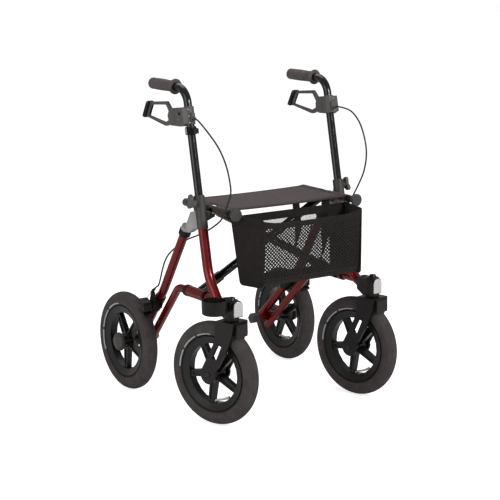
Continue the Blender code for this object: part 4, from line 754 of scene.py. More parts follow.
@dataclass
class SideFrame(Assembly):
    """The bent tubes of one side frame and its handle post, with the rings on them."""

    leg_radius: float = 0.0145
    rear_radius: float = 0.0135
    rail_radius: float = 0.0120
    post_radius: float = 0.0120
    leg_heights: Pair = (0.6000, 0.4200)
    leg_foot: tuple[Pair, Pair] = ((-0.2115, 0.3535), (-0.2480, 0.3480))
    leg_bends: Pair = (0.150, 0.050)
    rear_top: Pair = (-0.0457, 0.5480)
    kink_z: float = 0.3350
    kink_bend: float = 0.180
    slope: float = radians(43.3)
    axle_inset: float = 0.0235
    past_axle: float = 0.0200
    spread: float = 0.0225
    rail_front: float = -0.2030
    rail_bend: float = 0.0450
    boss: Triple = (0.1970, 0.2625, 0.0118)
    boss_edge: float = 0.0008
    axle_radius: float = 0.0064
    post_bottom: float = 0.5600
    post_bend: float = 0.0540
    grip_end: float = 0.1260
    stops: tuple[Triple, ...] = ((-0.0575, 0.0140, 0.0175), (-0.1495, 0.0050, 0.0165))
    stop_gap: float = 0.0001
    sleeve: Triple = (-0.1432, 0.0844, 0.0166)
    sleeve_gap: float = 0.0010
    bracket_ring: tuple[Pair, ...] = ((0.0080, 0.0004), (0.0080, 0.0042), (0.0100, 0.0050), (0.0270, 0.0046),
                                      (0.0290, 0.0030), (0.0290, 0.0004))

    def beside_axle(self, offset: float) -> Vector:
        """Finds the lower end of a tube that passes the axle.

        Args:
            offset: the tube's distance behind the axle, square to its slope.

        Returns:
            The end of its middle line.
        """
        level, steep = cos(self.slope), sin(self.slope)
        across, down = Vector((0.0, level, steep)), Vector((0.0, steep, -level))
        return self.side.at(FRAME_X - self.axle_inset, *AXLE) + across * offset + down * self.past_axle

    def corner(self, end: Vector, z: float) -> Vector:
        """The point at a height in line with the slope to a tube's lower end."""
        return self.side.at(FRAME_X, end.y - (z - end.z) * tan(self.slope), z)

    def front_leg(self) -> None:
        """Builds the straight leg that curves forward into the caster housing."""
        foot = [self.side.at(FRAME_X, *spot) for spot in self.leg_foot]
        corners = [*map(self.side.on_post, self.leg_heights), *foot]
        form = Form()
        form.tube(bent_run(corners, self.leg_bends), self.leg_radius, caps=(False, True))
        self.stand_in("leg_tube", "front_leg", form, Finish.RED_TUBE, slot="red_frame")

    def rear_corners(self) -> list[Vector]:
        """The rear leg's top, its bend and its lower end."""
        end = self.beside_axle(self.spread)
        return [self.side.at(FRAME_X, *self.rear_top), self.corner(end, self.kink_z), end]

    def rear_leg(self) -> None:
        """Builds the rear leg with the axle's boss at its lower end."""
        inner, outer, radius = self.boss
        form = Form()
        form.tube(bent_run(self.rear_corners(), [self.kink_bend]), self.rear_radius)
        profile = collar(outer - inner, self.axle_radius, radius, self.boss_edge)
        form.turned(profile, self.side.at(inner, *AXLE), self.side.out)
        self.stand_in("rear_tube", "rear_leg", form, Finish.RED_TUBE, slot="red_frame")

    def bracket_collar(self) -> None:
        """Builds the black ring that closes the grey bracket round the rear leg."""
        top, kink = self.rear_corners()[:2]
        form = Form()
        profile = [(far, self.rear_radius + rise) for far, rise in self.bracket_ring]
        form.turned(profile, top, (kink - top).normalized())
        self.job.add(f"bracket_collar_{self.side}", form, Finish.BLACK_MOULDING, slot="black_plastic",
                     on=f"leg_bracket_{self.side}")

    def lower_rail(self) -> None:
        """Builds the level rail with its run down to the axle, its stop collars and the arm's sleeve."""
        end = self.beside_axle(-self.spread)
        corners = [self.side.at(FRAME_X, self.rail_front, LOWER_RAIL_Z), self.corner(end, LOWER_RAIL_Z), end]
        form, stops, sleeve = Form(), Form(), Form()
        form.tube(bent_run(corners, [self.rail_bend]), self.rail_radius)
        self.stand_in("rail_tube", "lower_rail", form, Finish.RED_TUBE, slot="red_frame")
        for y, length, radius in self.stops:
            profile = collar(length, self.rail_radius + self.stop_gap, radius)
            stops.turned(profile, self.side.at(FRAME_X, y, LOWER_RAIL_Z), BACK)
        self.job.add(f"rail_collars_{self.side}", stops, Finish.BLACK_MOULDING, slot="black_plastic",
                     on=f"lower_rail_{self.side}")
        y, length, radius = self.sleeve
        profile = collar(length, self.rail_radius + self.sleeve_gap, radius)
        sleeve.turned(profile, self.side.at(FRAME_X, y, LOWER_RAIL_Z), BACK)
        arm = "cross_arm_a" if self.side is Side.RIGHT else "cross_arm_b"
        self.job.add(f"arm_sleeve_{self.side}", sleeve, Finish.RED_TUBE, slot="red_frame", on=arm)

    def post(self) -> None:
        """Builds the handle post, bent back into the grip."""
        end = self.side.at(FRAME_X, self.grip_end, GRIP_Z)
        corners = [*map(self.side.on_post, (self.post_bottom, GRIP_Z)), end]
        form = Form()
        form.tube(bent_run(corners, [self.post_bend]), self.post_radius)
        self.stand_in("post_tube", "handle_post", form, Finish.BLACK_TUBE, slot="black_tube")

    def build(self) -> None:
        """Builds every tube of the side."""
        for make in (self.front_leg, self.rear_leg, self.lower_rail, self.bracket_collar, self.post):
            make()


@dataclass
class Grip(Assembly):
    """A rubber hand grip with its round guard, palm swell and grooves."""

    front: float = 0.0080
    length: float = 0.1320
    radius: float = 0.0165
    grooves: int = 7
    groove_start: float = 0.0125
    groove_pitch: float = 0.0042
    groove: float = 0.0008
    swell: float = 0.0009
    swell_shares: tuple[float, ...] = (0.38, 0.46, 0.54, 0.62, 0.70, 0.78, 0.86)
    guard: tuple[Pair, ...] = ((0.0, 0.0125), (0.0, 0.0190), (0.0012, 0.0222), (0.0026, 0.0230),
                               (0.0042, 0.0222), (0.0058, 0.0195), (0.0080, 0.0169))
    end: tuple[Pair, ...] = ((0.0100, 0.0171), (0.0050, 0.0165), (0.0018, 0.0140), (0.0, 0.0105), (0.0, 0.0))

    def build(self) -> None:
        """Builds the grip, turned from the guard to the closed end."""
        outline = list(self.guard)
        for at in (self.groove_start + k * self.groove_pitch for k in range(self.grooves)):
            deep = self.radius - self.groove
            outline += [(at, self.radius), (at + self.groove, deep), (at + 2 * self.groove, self.radius)]
        for share in self.swell_shares:
            outline.append((self.length * share, self.radius + self.swell * sin(pi * (share - 0.3) / 0.6)))
        outline += [(self.length - off, radius) for off, radius in self.end]
        form = Form()
        form.turned(outline, self.side.at(FRAME_X, self.front, GRIP_Z), BACK, 56)
        self.stand_in("grip_sleeve", "grip", form, Finish.GRIP_RUBBER, slot="grip_rubber", sharp=50.0)


@dataclass
class BrakeCable(Assembly):
    """A brake cable: its black jacket from lever housing to brake adjuster, and the bare wire's end."""

    radius: float = 0.0025
    step: float = 0.0060
    wire: float = 0.0010
    wire_shares: Triple = (0.04, 0.5, 0.90)
    inner: float = 0.2310
    anchor_x: float = 0.2913
    anchor_angle: float = radians(58.0)
    anchor_out: float = 0.0190
    adjuster: Triple = (-0.0080, -0.0380, 0.0370)
    adjuster_length: float = 0.0340
    start: Pair = (-0.0945, 0.8710)
    bulges: dict[Side, tuple[Pair, ...]] = field(default_factory=lambda: {
        Side.RIGHT: ((-0.1130, 0.8660), (-0.1670, 0.8350), (-0.2180, 0.7980), (-0.2540, 0.7530),
                     (-0.2730, 0.7040), (-0.2740, 0.6760), (-0.2590, 0.6470)),
        Side.LEFT: ((-0.1130, 0.8745), (-0.1690, 0.8680), (-0.2080, 0.8430), (-0.2330, 0.8060),
                    (-0.2480, 0.7580), (-0.2440, 0.7120), (-0.2240, 0.6660)),
    })

    def route(self, anchor: Vector) -> list[Vector]:
        """Gives the jacket's own route, from the housing to the adjuster.

        Args:
            anchor: the end of the brake arm that the wire pulls.

        Returns:
            The points that it passes.
        """
        bulge = [(FRAME_X, y, z) for y, z in (self.start, *self.bulges[self.side])]
        back = [(self.inner, -0.1960, 0.5930), (self.inner, -0.1560, 0.5650), (self.inner, -0.1160, 0.5450),
                (self.inner, -0.0600, 0.5210), (FRAME_X - 0.0180, -0.0080, 0.4990),
                (FRAME_X + 0.0060, 0.0330, 0.4620), (FRAME_X + 0.0160, 0.0560, 0.4250)]
        end = anchor + self.side.at(*self.adjuster)
        pull = (anchor - end).normalized() * self.adjuster_length
        return [*(self.side.at(*point) for point in bulge + back), end - pull, end - pull * 0.5, end]

    def build(self) -> None:
        """Builds the cable's jacket along its route, and the bare wire's end on the frame."""
        side, reach, turn = self.side, WHEEL_RADIUS + self.anchor_out, self.anchor_angle
        anchor = side.at(self.anchor_x, AXLE[0] - reach * cos(turn), AXLE[1] + reach * sin(turn))
        path = smooth_route(self.route(anchor), self.step)
        length = sum((after - before).length for before, after in zip(path, path[1:]))
        form, end = Form(), Form()
        form.tube(path, self.radius, 14)
        cable = self.job.make(f"cable_jacket_{side}", form, Finish.CABLE_JACKET)
        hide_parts(f"brake_cable_{side}")
        top, low = path[0], path[-1]
        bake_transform(cable)
        tuple(top)
        [tuple(point) for point in path]
        end.tube([low + (anchor - low) * share for share in self.wire_shares], self.wire, 10)
        self.job.add(f"cable_wire_{side}", end, Finish.PLATED_STEEL, slot="bright_steel", on=f"{side}_frame")
        LOG.info("cable of the %s side is %.3f m long", side, length)


# Wheels


@dataclass
class Tyre(Assembly):
    """A wheel's air-filled tyre with ribs, the reflective dashes on its walls and its angled valve."""

    end: str
    section: float = 0.0237
    bead: float = 0.0460
    bead_half: float = 0.0135
    lip: Pair = (0.0005, 0.0040)
    around: Pair = (223.0, -43.0)
    around_steps: int = 64
    steps: int = 144
    tread: Triple = (58.0, 14.5, 0.0011)
    rib: Triple = (74.0, 80.0, 0.0006)
    # Below this radius the tyre gets the darker colour, painted shade beside the rim
    wall_foot: float = 0.1140
    line_radius: float = 0.1174
    line_width: float = 0.0036
    line_rise: Pair = (-0.0004, 0.0007)
    valve_bend: tuple[Pair, ...] = ((0.0, 0.0905), (1.0, 0.0850), (8.0, 0.0812), (24.0, 0.0805),
                                    (40.0, 0.0825))
    valve_radii: Pair = (0.0032, 0.0040)
    valve_step: float = 0.002
    cap_steps: int = 6
    marks: dict[str, tuple[float, tuple[Pair, ...]]] = field(default_factory=lambda: {
        "front_tyre_right": (178.0, ((1.0, 26.0), (30.0, 58.0), (62.0, 88.0))),
        "front_tyre_left": (180.0, ((0.0, 28.0), (32.0, 60.0), (64.0, 90.0))),
        "rear_tyre_right": (256.0, ((10.0, 42.0), (46.0, 80.0), (84.0, 115.0))),
        "rear_tyre_left": (162.0, ((62.0, 74.0), (77.0, 88.0), (242.0, 268.0))),
    })

    def __post_init__(self) -> None:
        """Reads the wheel's place from its joint; marks has the turns of valve and dashes in degrees."""
        self.name = f"{self.end}_tyre_{self.side}"
        self.valve_turn, self.dashes = self.marks[self.name]
        joint = self.job.joint(f"{self.end}_spin_{self.side}")
        axis = Vector(joint["axis"]).normalized()
        self.axis = axis if axis.x * self.side.value > 0 else -axis
        self.centre = Vector(joint["pos_m"])
        back = UP.cross(axis).normalized()
        self.back = back if back.y > 0 else -back

    def at(self, turn: float, radius: float, across: float = 0.0) -> Vector:
        """A point by its turn backward from the top in degrees, its radius and its distance outward."""
        out = UP * cos(radians(turn)) + self.back * sin(radians(turn))
        return self.centre + out * radius + self.axis * across

    def outline(self) -> list[Pair]:
        """Gives the tyre's section from one bead over the tread to the other.

        Returns:
            Distance outward and radius of each point.
        """
        bead, (wide, tall), (start, end) = WHEEL_RADIUS - self.bead, self.lip, self.around
        points = [(-self.bead_half, bead), (-self.bead_half - wide, bead + tall)]
        for k in range(self.around_steps + 1):
            angle = start + (end - start) * k / self.around_steps
            off, depth = abs(angle - 90.0), 0.0
            if off < self.tread[0]:
                depth = self.tread[2] * max(0.0, cos(radians(off * 360.0 / self.tread[1]))) ** 6
            elif self.rib[0] < off < self.rib[1]:
                depth = self.rib[2]
            reach = self.section - depth
            middle = WHEEL_RADIUS - self.section
            points.append((reach * cos(radians(angle)), middle + reach * sin(radians(angle))))
        return points + [(self.bead_half + wide, bead + tall), (self.bead_half, bead)]

    def rubber(self) -> None:
        """Builds the tyre, whose foot beside the rim gets a darker colour as painted shade."""
        points, across = self.outline(), square_to(self.axis)
        form = Form()
        rings = [form.ring(circle(self.centre + self.axis * out, across, radius, self.steps))
                 for out, radius in points]
        for k, ring in enumerate(rings):
            after = (k + 1) % len(rings)
            form.bridge((ring, rings[after]), int(min(points[k][1], points[after][1]) < self.wall_foot))
        self.job.add(f"{self.name}_rubber", form, Finish.TYRE_RUBBER, Finish.TYRE_WALL_RUBBER,
                     slot="tyre_rubber", on=self.name, node=self.name, sharp=60.0)

    def line(self) -> None:
        """Builds the reflective dashes on both walls."""
        form = Form()
        for (start, end), face in product(self.dashes, (-1, 1)):

            def place(u: float, v: float, w: float) -> Vector:
                """Places a point of the dash.

                Args:
                    u: the share along it.
                    v: the share across it.
                    w: the share of its thickness.

                Returns:
                    The point.
                """
                radius = self.line_radius + self.line_width * (v - 0.5)
                wall = sqrt(self.section**2 - (radius - WHEEL_RADIUS + self.section) ** 2)
                rise = self.line_rise[0] + self.line_rise[1] * w
                return self.at(start + (end - start) * u, radius, face * (wall + rise))

            form.slab(max(int((end - start) / 2), 2), 2, place)
        self.job.add(f"{self.name}_line", form, Finish.REFLECTIVE_LINE, slot="reflector_lens", on=self.name)

    def valve(self) -> None:
        """Builds the angled valve on the rim's inner side."""
        bend = [self.at(self.valve_turn + turn, radius) for turn, radius in self.valve_bend]
        path = smooth_route(bend, self.valve_step)
        stem, cap = self.valve_radii
        form = Form()
        form.tube(path, [stem] * (len(path) - self.cap_steps) + [cap] * self.cap_steps, 16)
        self.job.add(f"{self.name}_valve", form, Finish.VALVE_PLATING, slot="bright_steel", on=self.name,
                     sharp=50.0)

    def build(self) -> None:
        """Builds the tyre, its dashes and its valve."""
        for make in (self.rubber, self.line, self.valve):
            make()


# Seat


@dataclass
class Fold:
    """How the seat rails come together when the cross folds, and the soft pieces that lie between them."""

    job: Job
    limit: float

    def spacing(self, degrees: float) -> float:
        """The distance between the seat rails after the arms turn by an angle."""
        across, up = FRAME_X + SEAT_RAIL_X, SEAT_RAIL_Z - LOWER_RAIL_Z
        return 2 * SEAT_RAIL_X / across * hypot(across, up) * cos(atan2(up, across) + radians(degrees))

    def soft(self, name: str, form: Form, finish: Finish, slot: str, width: float, sharp: float = 35.0,
             node: str = "") -> Piece:
        """Adds a soft piece between the rails.

        Args:
            name: the piece's name.
            form: the finished form.
            finish: its finish.
            slot: the record's material slot.
            width: its width at rest.
            sharp: the angle in degrees above which an edge stays sharp.
            node: the node that it stands for.

        Returns:
            The piece.
        """
        piece = self.job.add(name, form, finish, slot=slot, on="right_rail", node=node, sharp=sharp)
        keep = (width - self.spacing(0.0) + self.spacing(self.limit)) / width
        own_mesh(piece)
        return piece


@dataclass
class Seat:
    """The sling seat: a sagging panel, a tunnel hem round each rail, edge tapes, seams and straps."""

    job: Job
    fold: Fold
    rail_radius: float = 0.0080
    front: float = -0.2130
    back: float = 0.0165
    thickness: float = 0.0030
    sag: float = 0.0030
    edge_x: float = 0.2030
    edge_drop: float = 0.0016
    ripple: float = 0.0005
    grid: tuple[int, int] = (80, 44)
    inset: float = 0.0003
    notch: dict[Side, float] = field(default_factory=lambda: {Side.RIGHT: -0.1270, Side.LEFT: -0.0985})
    notch_half: float = 0.0142
    hem_step: float = 0.006
    pinch: float = 0.0004
    tape: float = 0.0160
    stitch: float = 0.0042
    thread: float = 0.00035
    seam_inset: float = 0.0025
    hem_seams: Pair = (0.0040, 0.0090)
    plug_length: float = 0.0240
    plug_end: tuple[Pair, ...] = ((0.0005, 0.0006), (0.0021, -0.0012), (0.0027, -0.0040), (0.0029, -0.0110))
    strap_y: float = -0.2050
    strap_width: float = 0.0255
    strap: float = 0.0014
    strap_step: float = 0.004
    straps: tuple[tuple[Triple, ...], ...] = (
        ((0.0257, 0.6156, 0.0), (0.0300, 0.5800, 2.0), (0.0347, 0.5386, 8.0), (0.0297, 0.5029, 33.0),
         (0.0240, 0.4810, 38.0)),
        ((0.1353, 0.6156, -14.0), (0.1349, 0.5600, -12.0), (0.1345, 0.5061, 0.0), (0.1300, 0.4637, 32.0),
         (0.1195, 0.4346, 38.0)),
    )

    def top(self, x: float) -> float:
        """The height of the sagging cloth's under face at a distance from the middle."""
        return SEAT_RAIL_Z + self.rail_radius + 0.0003 - self.sag * (1 - (x / SEAT_RAIL_X) ** 2)

    def lifted(self, x: float, y: float, lift: float) -> Vector:
        """Places a point over the under face, with soft edges and the pull marks that fan from the hems.

        Args:
            x: the point's x.
            y: its y.
            lift: its height over the under face.

        Returns:
            The point.
        """
        wave = sin(y * 95.0 + 1.3 * sin(x * 21.0)) * 0.6 + sin(y * 171.0 + 2.0) * 0.4
        soft = self.edge_drop * abs(2 * (y - self.front) / (self.back - self.front) - 1) ** 8
        return Vector((x, y, self.top(x) + self.ripple * (abs(x) / self.edge_x) ** 3 * wave - soft + lift))

    def soft(self, name: str, form: Form, finish: Finish, sharp: float = 35.0, node: str = "") -> Piece:
        """Adds a piece of the cloth between the hems."""
        return self.fold.soft(name, form, finish, "seat_cloth", 2 * self.edge_x, sharp, node)

    def panel(self) -> Piece:
        """Builds the cloth between the hems.

        Returns:
            The panel.
        """
        def place(u: float, v: float, w: float) -> Vector:
            """Places a point of the panel.

            Args:
                u: the share across it.
                v: the share along it.
                w: the share of its thickness.

            Returns:
                The point.
            """
            y = self.front + (self.back - self.front) * v
            lift = self.inset + w * (self.thickness - 2 * self.inset)
            return self.lifted((2 * u - 1) * self.edge_x, y, lift)

        form = Form()
        form.slab(*self.grid, place)
        return self.soft("seat_panel", form, Finish.SEAT_CLOTH, 60.0, "seat")

    def edge_tape(self, name: str, edge: float, inward: float) -> Piece:
        """Builds the tape folded over the panel's front or back edge.

        Args:
            name: the tape's name.
            edge: the y of the edge.
            inward: 1 if the panel lies towards +Y from it, else -1.

        Returns:
            The tape.
        """
        middle, half = self.thickness / 2, self.thickness / 2 + 0.0004
        outline = [(self.tape, half), (0.001, half), (-0.0002, half * 0.6), (-0.0002, -half * 0.6),
                   (0.001, -half), (self.tape, -half)]
        form, columns = Form(), self.grid[0]
        spots = ((2 * k / columns - 1) * self.edge_x for k in range(columns + 1))
        form.bridge([form.ring(self.lifted(x, edge + inward * off, middle + rise) for off, rise in outline)
                     for x in spots], closed=True)
        return self.soft(name, form, Finish.SEAT_TAPE, 50.0)

    def seam(self, name: str, start: Pair, end: Pair) -> Piece:
        """Builds a row of stitches that lies on the panel.

        Args:
            name: the row's name.
            start: the x and y of its start.
            end: the x and y of its end.

        Returns:
            The row of stitches.
        """
        run = Vector(end) - Vector(start)
        count = int(run.length / self.stitch)
        form = Form()
        for k in range(count):
            path = []
            for off in (-0.34, -0.2, 0.0, 0.2, 0.34):
                x, y = Vector(start) + run * ((k + 0.5) / count) + run.normalized() * off * self.stitch
                path.append(self.lifted(x, y, self.thickness + 0.0005 - 0.0016 * abs(off)))
            form.tube(path, self.thread, 5)
        return self.soft(name, form, Finish.SEWING_THREAD)

    def hanging_strap(self, name: str, line: Sequence[Triple]) -> Piece:
        """Builds a webbing strap that hangs from the seat's underside.

        Args:
            name: the strap's name.
            line: the x, height and twist in degrees of points down its middle.

        Returns:
            The strap.
        """
        # The curve carries the twist as its y, made small so that it hardly counts as length
        middle = smooth_route([Vector((x, twist * 0.001, z)) for x, z, twist in line], self.strap_step)

        def place(u: float, v: float, w: float) -> Vector:
            """Places a point of the strap, which twists as it hangs.

            Args:
                u: the share across it.
                v: the share down it.
                w: the share of its thickness.

            Returns:
                The point.
            """
            x, twist, z = middle[round(v * (len(middle) - 1))]
            turn, wide = radians(twist * 1000.0), self.strap_width * (u - 0.5)
            curl = 0.0004 * sin(9.0 * u + 4.0 * v) * v + self.strap * w
            return Vector((x + cos(turn) * wide, self.strap_y + sin(turn) * wide + curl, z))

        form = Form()
        form.slab(6, len(middle) - 1, place)
        return self.soft(name, form, Finish.PULL_STRAP, 50.0)

    def hem_outline(self) -> list[Pair]:
        """Gives the hem's section: round the rail, thin outside, with the cloth's ends laid flat inward.

        Returns:
            The points, measured from the rail's middle.
        """
        inner, outer = self.rail_radius + 0.0004, self.rail_radius + 0.0003 + self.thickness
        reach, drop = self.edge_x - SEAT_RAIL_X, self.top(self.edge_x) - SEAT_RAIL_Z - inner
        thin = [(x, z, 1 - 0.0010 * max(x, 0.0) ** 2 / outer) for x, z in arc(1.0, 90.0, -210.0, 20)]
        out = [(x * share * outer, z * share * outer) for x, z, share in thin]
        flap = [(reach - 0.006, -inner * 0.15), (reach - 0.006, inner * 0.05)]
        return [(reach, outer + drop), *out, *flap, *arc(inner, -210.0, 90.0, 20), (reach, inner + drop)]

    def hem(self, side: Side) -> None:
        """Builds the hem round a rail, in two lengths beside the arm's eye, and the cap over its rear end.

        Args:
            side: the rail's side.
        """
        form, plug, centre = Form(), Form(), self.notch[side]
        for start, end in ((self.front, centre - self.notch_half), (centre + self.notch_half, self.back)):
            rings, count = [], max(int((end - start) / self.hem_step), 2)
            for y in (start + (end - start) * k / count for k in range(count + 1)):
                pinch = self.pinch * sin(y * 260.0)
                rings.append(form.ring(side.at(SEAT_RAIL_X + x, y, SEAT_RAIL_Z + z + pinch * (x < -0.002))
                                       for x, z in self.hem_outline()))
            form.bridge(rings, closed=True)
        rail = f"{side}_rail"
        self.job.add(f"seat_hem_{side}", form, Finish.SEAT_CLOTH, slot="seat_cloth", on=rail, sharp=45.0)
        outer = self.rail_radius + self.thickness
        profile = [(0.0, outer - 0.0010), (0.0, outer + 0.0006)]
        profile += [(self.plug_length + far, outer + rise) for far, rise in self.plug_end[:-1]]
        profile.append((self.plug_length + self.plug_end[-1][0], 0.0))
        plug.turned(profile, side.at(SEAT_RAIL_X, self.back - self.plug_length, SEAT_RAIL_Z), BACK, 32)
        self.job.add(f"hem_plug_{side}", plug, Finish.DARK_GREY_MOULDING, slot="dark_grey_plastic", on=rail)

    def build(self) -> None:
        """Builds the seat, whose pieces ride on the rails."""
        edge, front, back = self.edge_x, self.front, self.back
        panel = self.panel()
        extras = [self.edge_tape("seat_tape_front", front, 1.0), self.edge_tape("seat_tape_back", back, -1.0)]
        extras += [self.hanging_strap(f"hanging_strap_{k}", line) for k, line in enumerate(self.straps)]
        near, far = self.seam_inset, self.tape - self.seam_inset
        for k, y in enumerate((front + near, front + far, back - near, back - far)):
            extras.append(self.seam(f"seat_seam_{k}", (-edge, y), (edge, y)))
        for side in Side:
            for k, off in enumerate(self.hem_seams):
                x = side.value * (edge - off)
                low, high = (x, front + self.tape), (x, back - self.tape)
                extras.append(self.seam(f"hem_seam_{side}_{k}", low, high))
            self.hem(side)


# Basket


@dataclass(frozen=True)
class Knit:
    """How a net is knitted: its pitch across and up, the share of each hole and the thread's thickness."""

    pitch: Pair
    hole: float
    thread: float = 0.0


@dataclass
class Basket:
    """The basket: a net with taped edges in front, below and behind, between two cloth-covered boards."""

    job: Job
    fold: Fold
    front_x: float = 0.1760
    back_x: float = 0.2067
    front_y: float = -0.3250
    back_y: float = -0.2070
    top: float = 0.6000
    bottom: float = 0.4060
    board: float = 0.0025
    gap: float = 0.0006
    floor_back: float = -0.2380
    border: float = 0.0040
    ripple: float = 0.0006
    weld: float = 0.00002
    tape: float = 0.0018
    tape_under: float = 0.0008
    top_sag: float = 0.0110
    corner_cuts: tuple[float, float] = (0.88, 0.52)
    piping: float = 0.0017
    swell_shares: tuple[float, ...] = (0.15, 0.40, 0.65, 0.85, 0.95, 0.985, 1.0)
    loop_radii: Pair = (0.0104, 0.0086)
    loop_tail: tuple[Pair, Pair] = ((-0.0125, -0.0180), (-0.0110, -0.0180))
    loop_ys: tuple[float, ...] = (-0.2270, -0.2240, -0.2180, -0.2150)
    side_bands: Pair = (0.014, 0.165)
    knits: dict[str, Knit] = field(default_factory=lambda: {
        "front": Knit((0.0113, 0.00545), 0.55, 0.0008),
        "floor": Knit((0.0068, 0.0034), 0.62, 0.0007),
        "back": Knit((0.0046, 0.0023), 0.72),
    })
    bellies: dict[str, Triple] = field(default_factory=lambda: {
        "front": (0.0, 0.0018, 0.0), "floor": (0.0, 0.0, -0.0002), "back": (0.0, -0.0030, 0.0)})

    def __post_init__(self) -> None:
        """Sets the two ends of each panel in side view, as points with x 0."""
        front, back, floor, top, bottom = self.front_y, self.back_y, self.floor_back, self.top, self.bottom
        ends = {
            "front": ((front + 0.0085, bottom + 0.0130), (front + 0.0008, top - 0.0010)),
            "floor": ((front + 0.0205, bottom + 0.0006), (floor - 0.0120, bottom + 0.0006)),
            "back": ((floor + 0.0030, bottom + 0.0130), (back - 0.0056, top - 0.0180)),
            "rear_band": ((back - 0.0060, top - 0.0190), (back - 0.0006, top - 0.0010)),
            "front_fold": ((front + 0.0083, bottom + 0.0150), (front + 0.0220, bottom + 0.0003)),
            "back_fold": ((floor - 0.0135, bottom + 0.0003), (floor + 0.0033, bottom + 0.0150)),
        }
        self.runs = {name: [Vector((0.0, *end)) for end in pair] for name, pair in ends.items()}

    def half_width(self, y: float) -> float:
        """The distance from the middle to the boards' inner face at a depth."""
        share = (self.back_y - y) / (self.back_y - self.front_y)
        return self.back_x + (self.front_x - self.back_x) * share - self.board / 2 - self.gap

    def flat(self, name: str) -> Pair:
        """The width and length of a panel laid flat."""
        start, end = self.runs[name]
        return 2 * self.half_width((start.y + end.y) / 2), (end - start).length

    def place(self, name: str, u: float, v: float) -> Vector:
        """Places a point of a panel, whose cloth hangs out of its plane a little.

        Args:
            name: the panel.
            u: the share across.
            v: the share up.

        Returns:
            The point.
        """
        start, end = self.runs[name]
        point = start.lerp(end, v)
        half = self.half_width(point.y)
        if name == "front":
            point.z -= self.top_sag * (1 - abs(2 * u - 1) ** 5) * max(v, 0.0) ** 3
        swell = sin(pi * min(max(v, 0.0), 1.0)) * (1 - (2 * u - 1) ** 2)
        wave = self.ripple * sin(17.0 * u + 5.0 * v) * sin(pi * v)
        out = Vector(self.bellies.get(name, (0.0, 0.0, 0.0))) * swell
        return Vector(((2 * u - 1) * half, point.y, point.z)) + (out + Vector((0, wave, wave * 0.3)))

    def soft(self, label: str, form: Form, finish: Finish, name: str, sharp: float, node: str = "") -> Piece:
        """Adds a soft piece with its own label, which lies in a panel."""
        width = 2 * min(self.half_width(end.y) for end in self.runs[name])
        return self.fold.soft(label, form, finish, "basket_cloth", width, sharp, node)

    def cell(self, form: Form, name: str, middle: Pair, half: Pair, border: Pair) -> None:
        """Adds one mesh of the net: a lozenge with a rounded hole, or a plain one at the border.

        Args:
            form: the net.
            name: the panel.
            middle: the lozenge's middle as shares across and up.
            half: its half diagonals as shares.
            border: the shares at the panel's edges that stay closed.
        """
        def spot(across: float, up: float) -> Vector:
            """A point of the lozenge, held inside the panel."""
            u, v = middle[0] + across * half[0], middle[1] + up * half[1]
            return self.place(name, min(max(u, 0.0), 1.0), min(max(v, 0.0), 1.0))

        corners = ((1, 0), (0, 1), (-1, 0), (0, -1))
        if not all(border[k] < middle[k] - half[k] and middle[k] + half[k] < 1 - border[k] for k in (0, 1)):
            form.face(form.ring(spot(*corner) for corner in corners))
            return
        outer, hole = [], []
        at_corner, between = (self.knits[name].hole * cut for cut in self.corner_cuts)
        for (x, y), (next_x, next_y) in zip(corners, corners[1:] + corners[:1]):
            both_x, both_y = x + next_x, y + next_y
            outer += form.ring((spot(x, y), spot(both_x / 2, both_y / 2)))
            hole += form.ring((spot(x * at_corner, y * at_corner), spot(both_x * between, both_y * between)))
        form.bridge([outer, hole])

    def net(self, name: str) -> Piece:
        """Knits one panel of the net, with its holes in staggered rows and a closed border.

        Args:
            name: front, floor or back.

        Returns:
            The panel.
        """
        (width, height), knit = self.flat(name), self.knits[name]
        columns, rows = round(width / knit.pitch[0]), max(round(height / knit.pitch[1]), 3)
        border, half = (self.border / width, self.border / height), (0.5 / columns, 1.0 / rows)
        form = Form()
        for row in range(rows + 1):
            odd = row % 2
            for column in range(columns + 1 + odd):
                self.cell(form, name, ((column - 0.5 * odd) / columns, row / rows), half, border)
        bmesh.ops.remove_doubles(form.mesh, verts=form.mesh.verts, dist=self.weld)
        bmesh.ops.dissolve_degenerate(form.mesh, edges=form.mesh.edges, dist=self.weld)
        node = "basket_net" if name == "front" else ""
        panel = self.soft(f"net_{name}", form, Finish.NET_THREAD, name, 180.0, node)
        if knit.thread:
            thread = panel.modifiers.new("thread", "SOLIDIFY")
            thread.thickness, thread.offset = knit.thread, 0.0
        return panel

    def band(self, label: str, name: str, across: Pair = (0.0, 1.0), up: Pair = (0.0, 1.0)) -> None:
        """Builds a tape over part of a panel, on both of its faces.

        Args:
            label: the tape's name.
            name: the panel.
            across: its low and high share across.
            up: its low and high share up.
        """
        start, end = self.runs[name]
        run = (end - start).normalized() * (-1 if name == "back" else 1)
        out = Vector((0.0, -run.z, run.y))

        def place(u: float, v: float, w: float) -> Vector:
            """A point of the tape."""
            spot = self.place(name, across[0] + (across[1] - across[0]) * u, up[0] + (up[1] - up[0]) * v)
            return spot + out * (self.tape * w - self.tape_under)

        form = Form()
        form.slab(*((48, 3) if across[1] - across[0] > 0.5 else (3, 40)), place)
        self.soft(label, form, Finish.EDGE_TAPE, name, 50.0)

    def board_outline(self, span: float) -> list[Vector]:
        """Gives the side board's outline: straight top and front, rounded corners and a slanted back edge.

        Args:
            span: its depth from back to front.

        Returns:
            Its points, as distance from the back edge and height.
        """
        top, bottom = self.top, self.bottom
        corners = [(0.0, top, 0.004), (span, top + 0.001, 0.006), (span, bottom, 0.016),
                   (span * 0.29, bottom - 0.001, 0.012)]
        outline, shares = [], [k / 6 for k in range(7)]
        for before, (x, z, radius), after in zip(corners[-1:] + corners, corners, corners[1:] + corners[:1]):
            corner = Vector((x, z))
            into, out = ((Vector(end[:2]) - corner).normalized() * radius for end in (before, after))
            outline += [corner + into * (1 - share) ** 2 + out * share**2 for share in shares]
        return outline

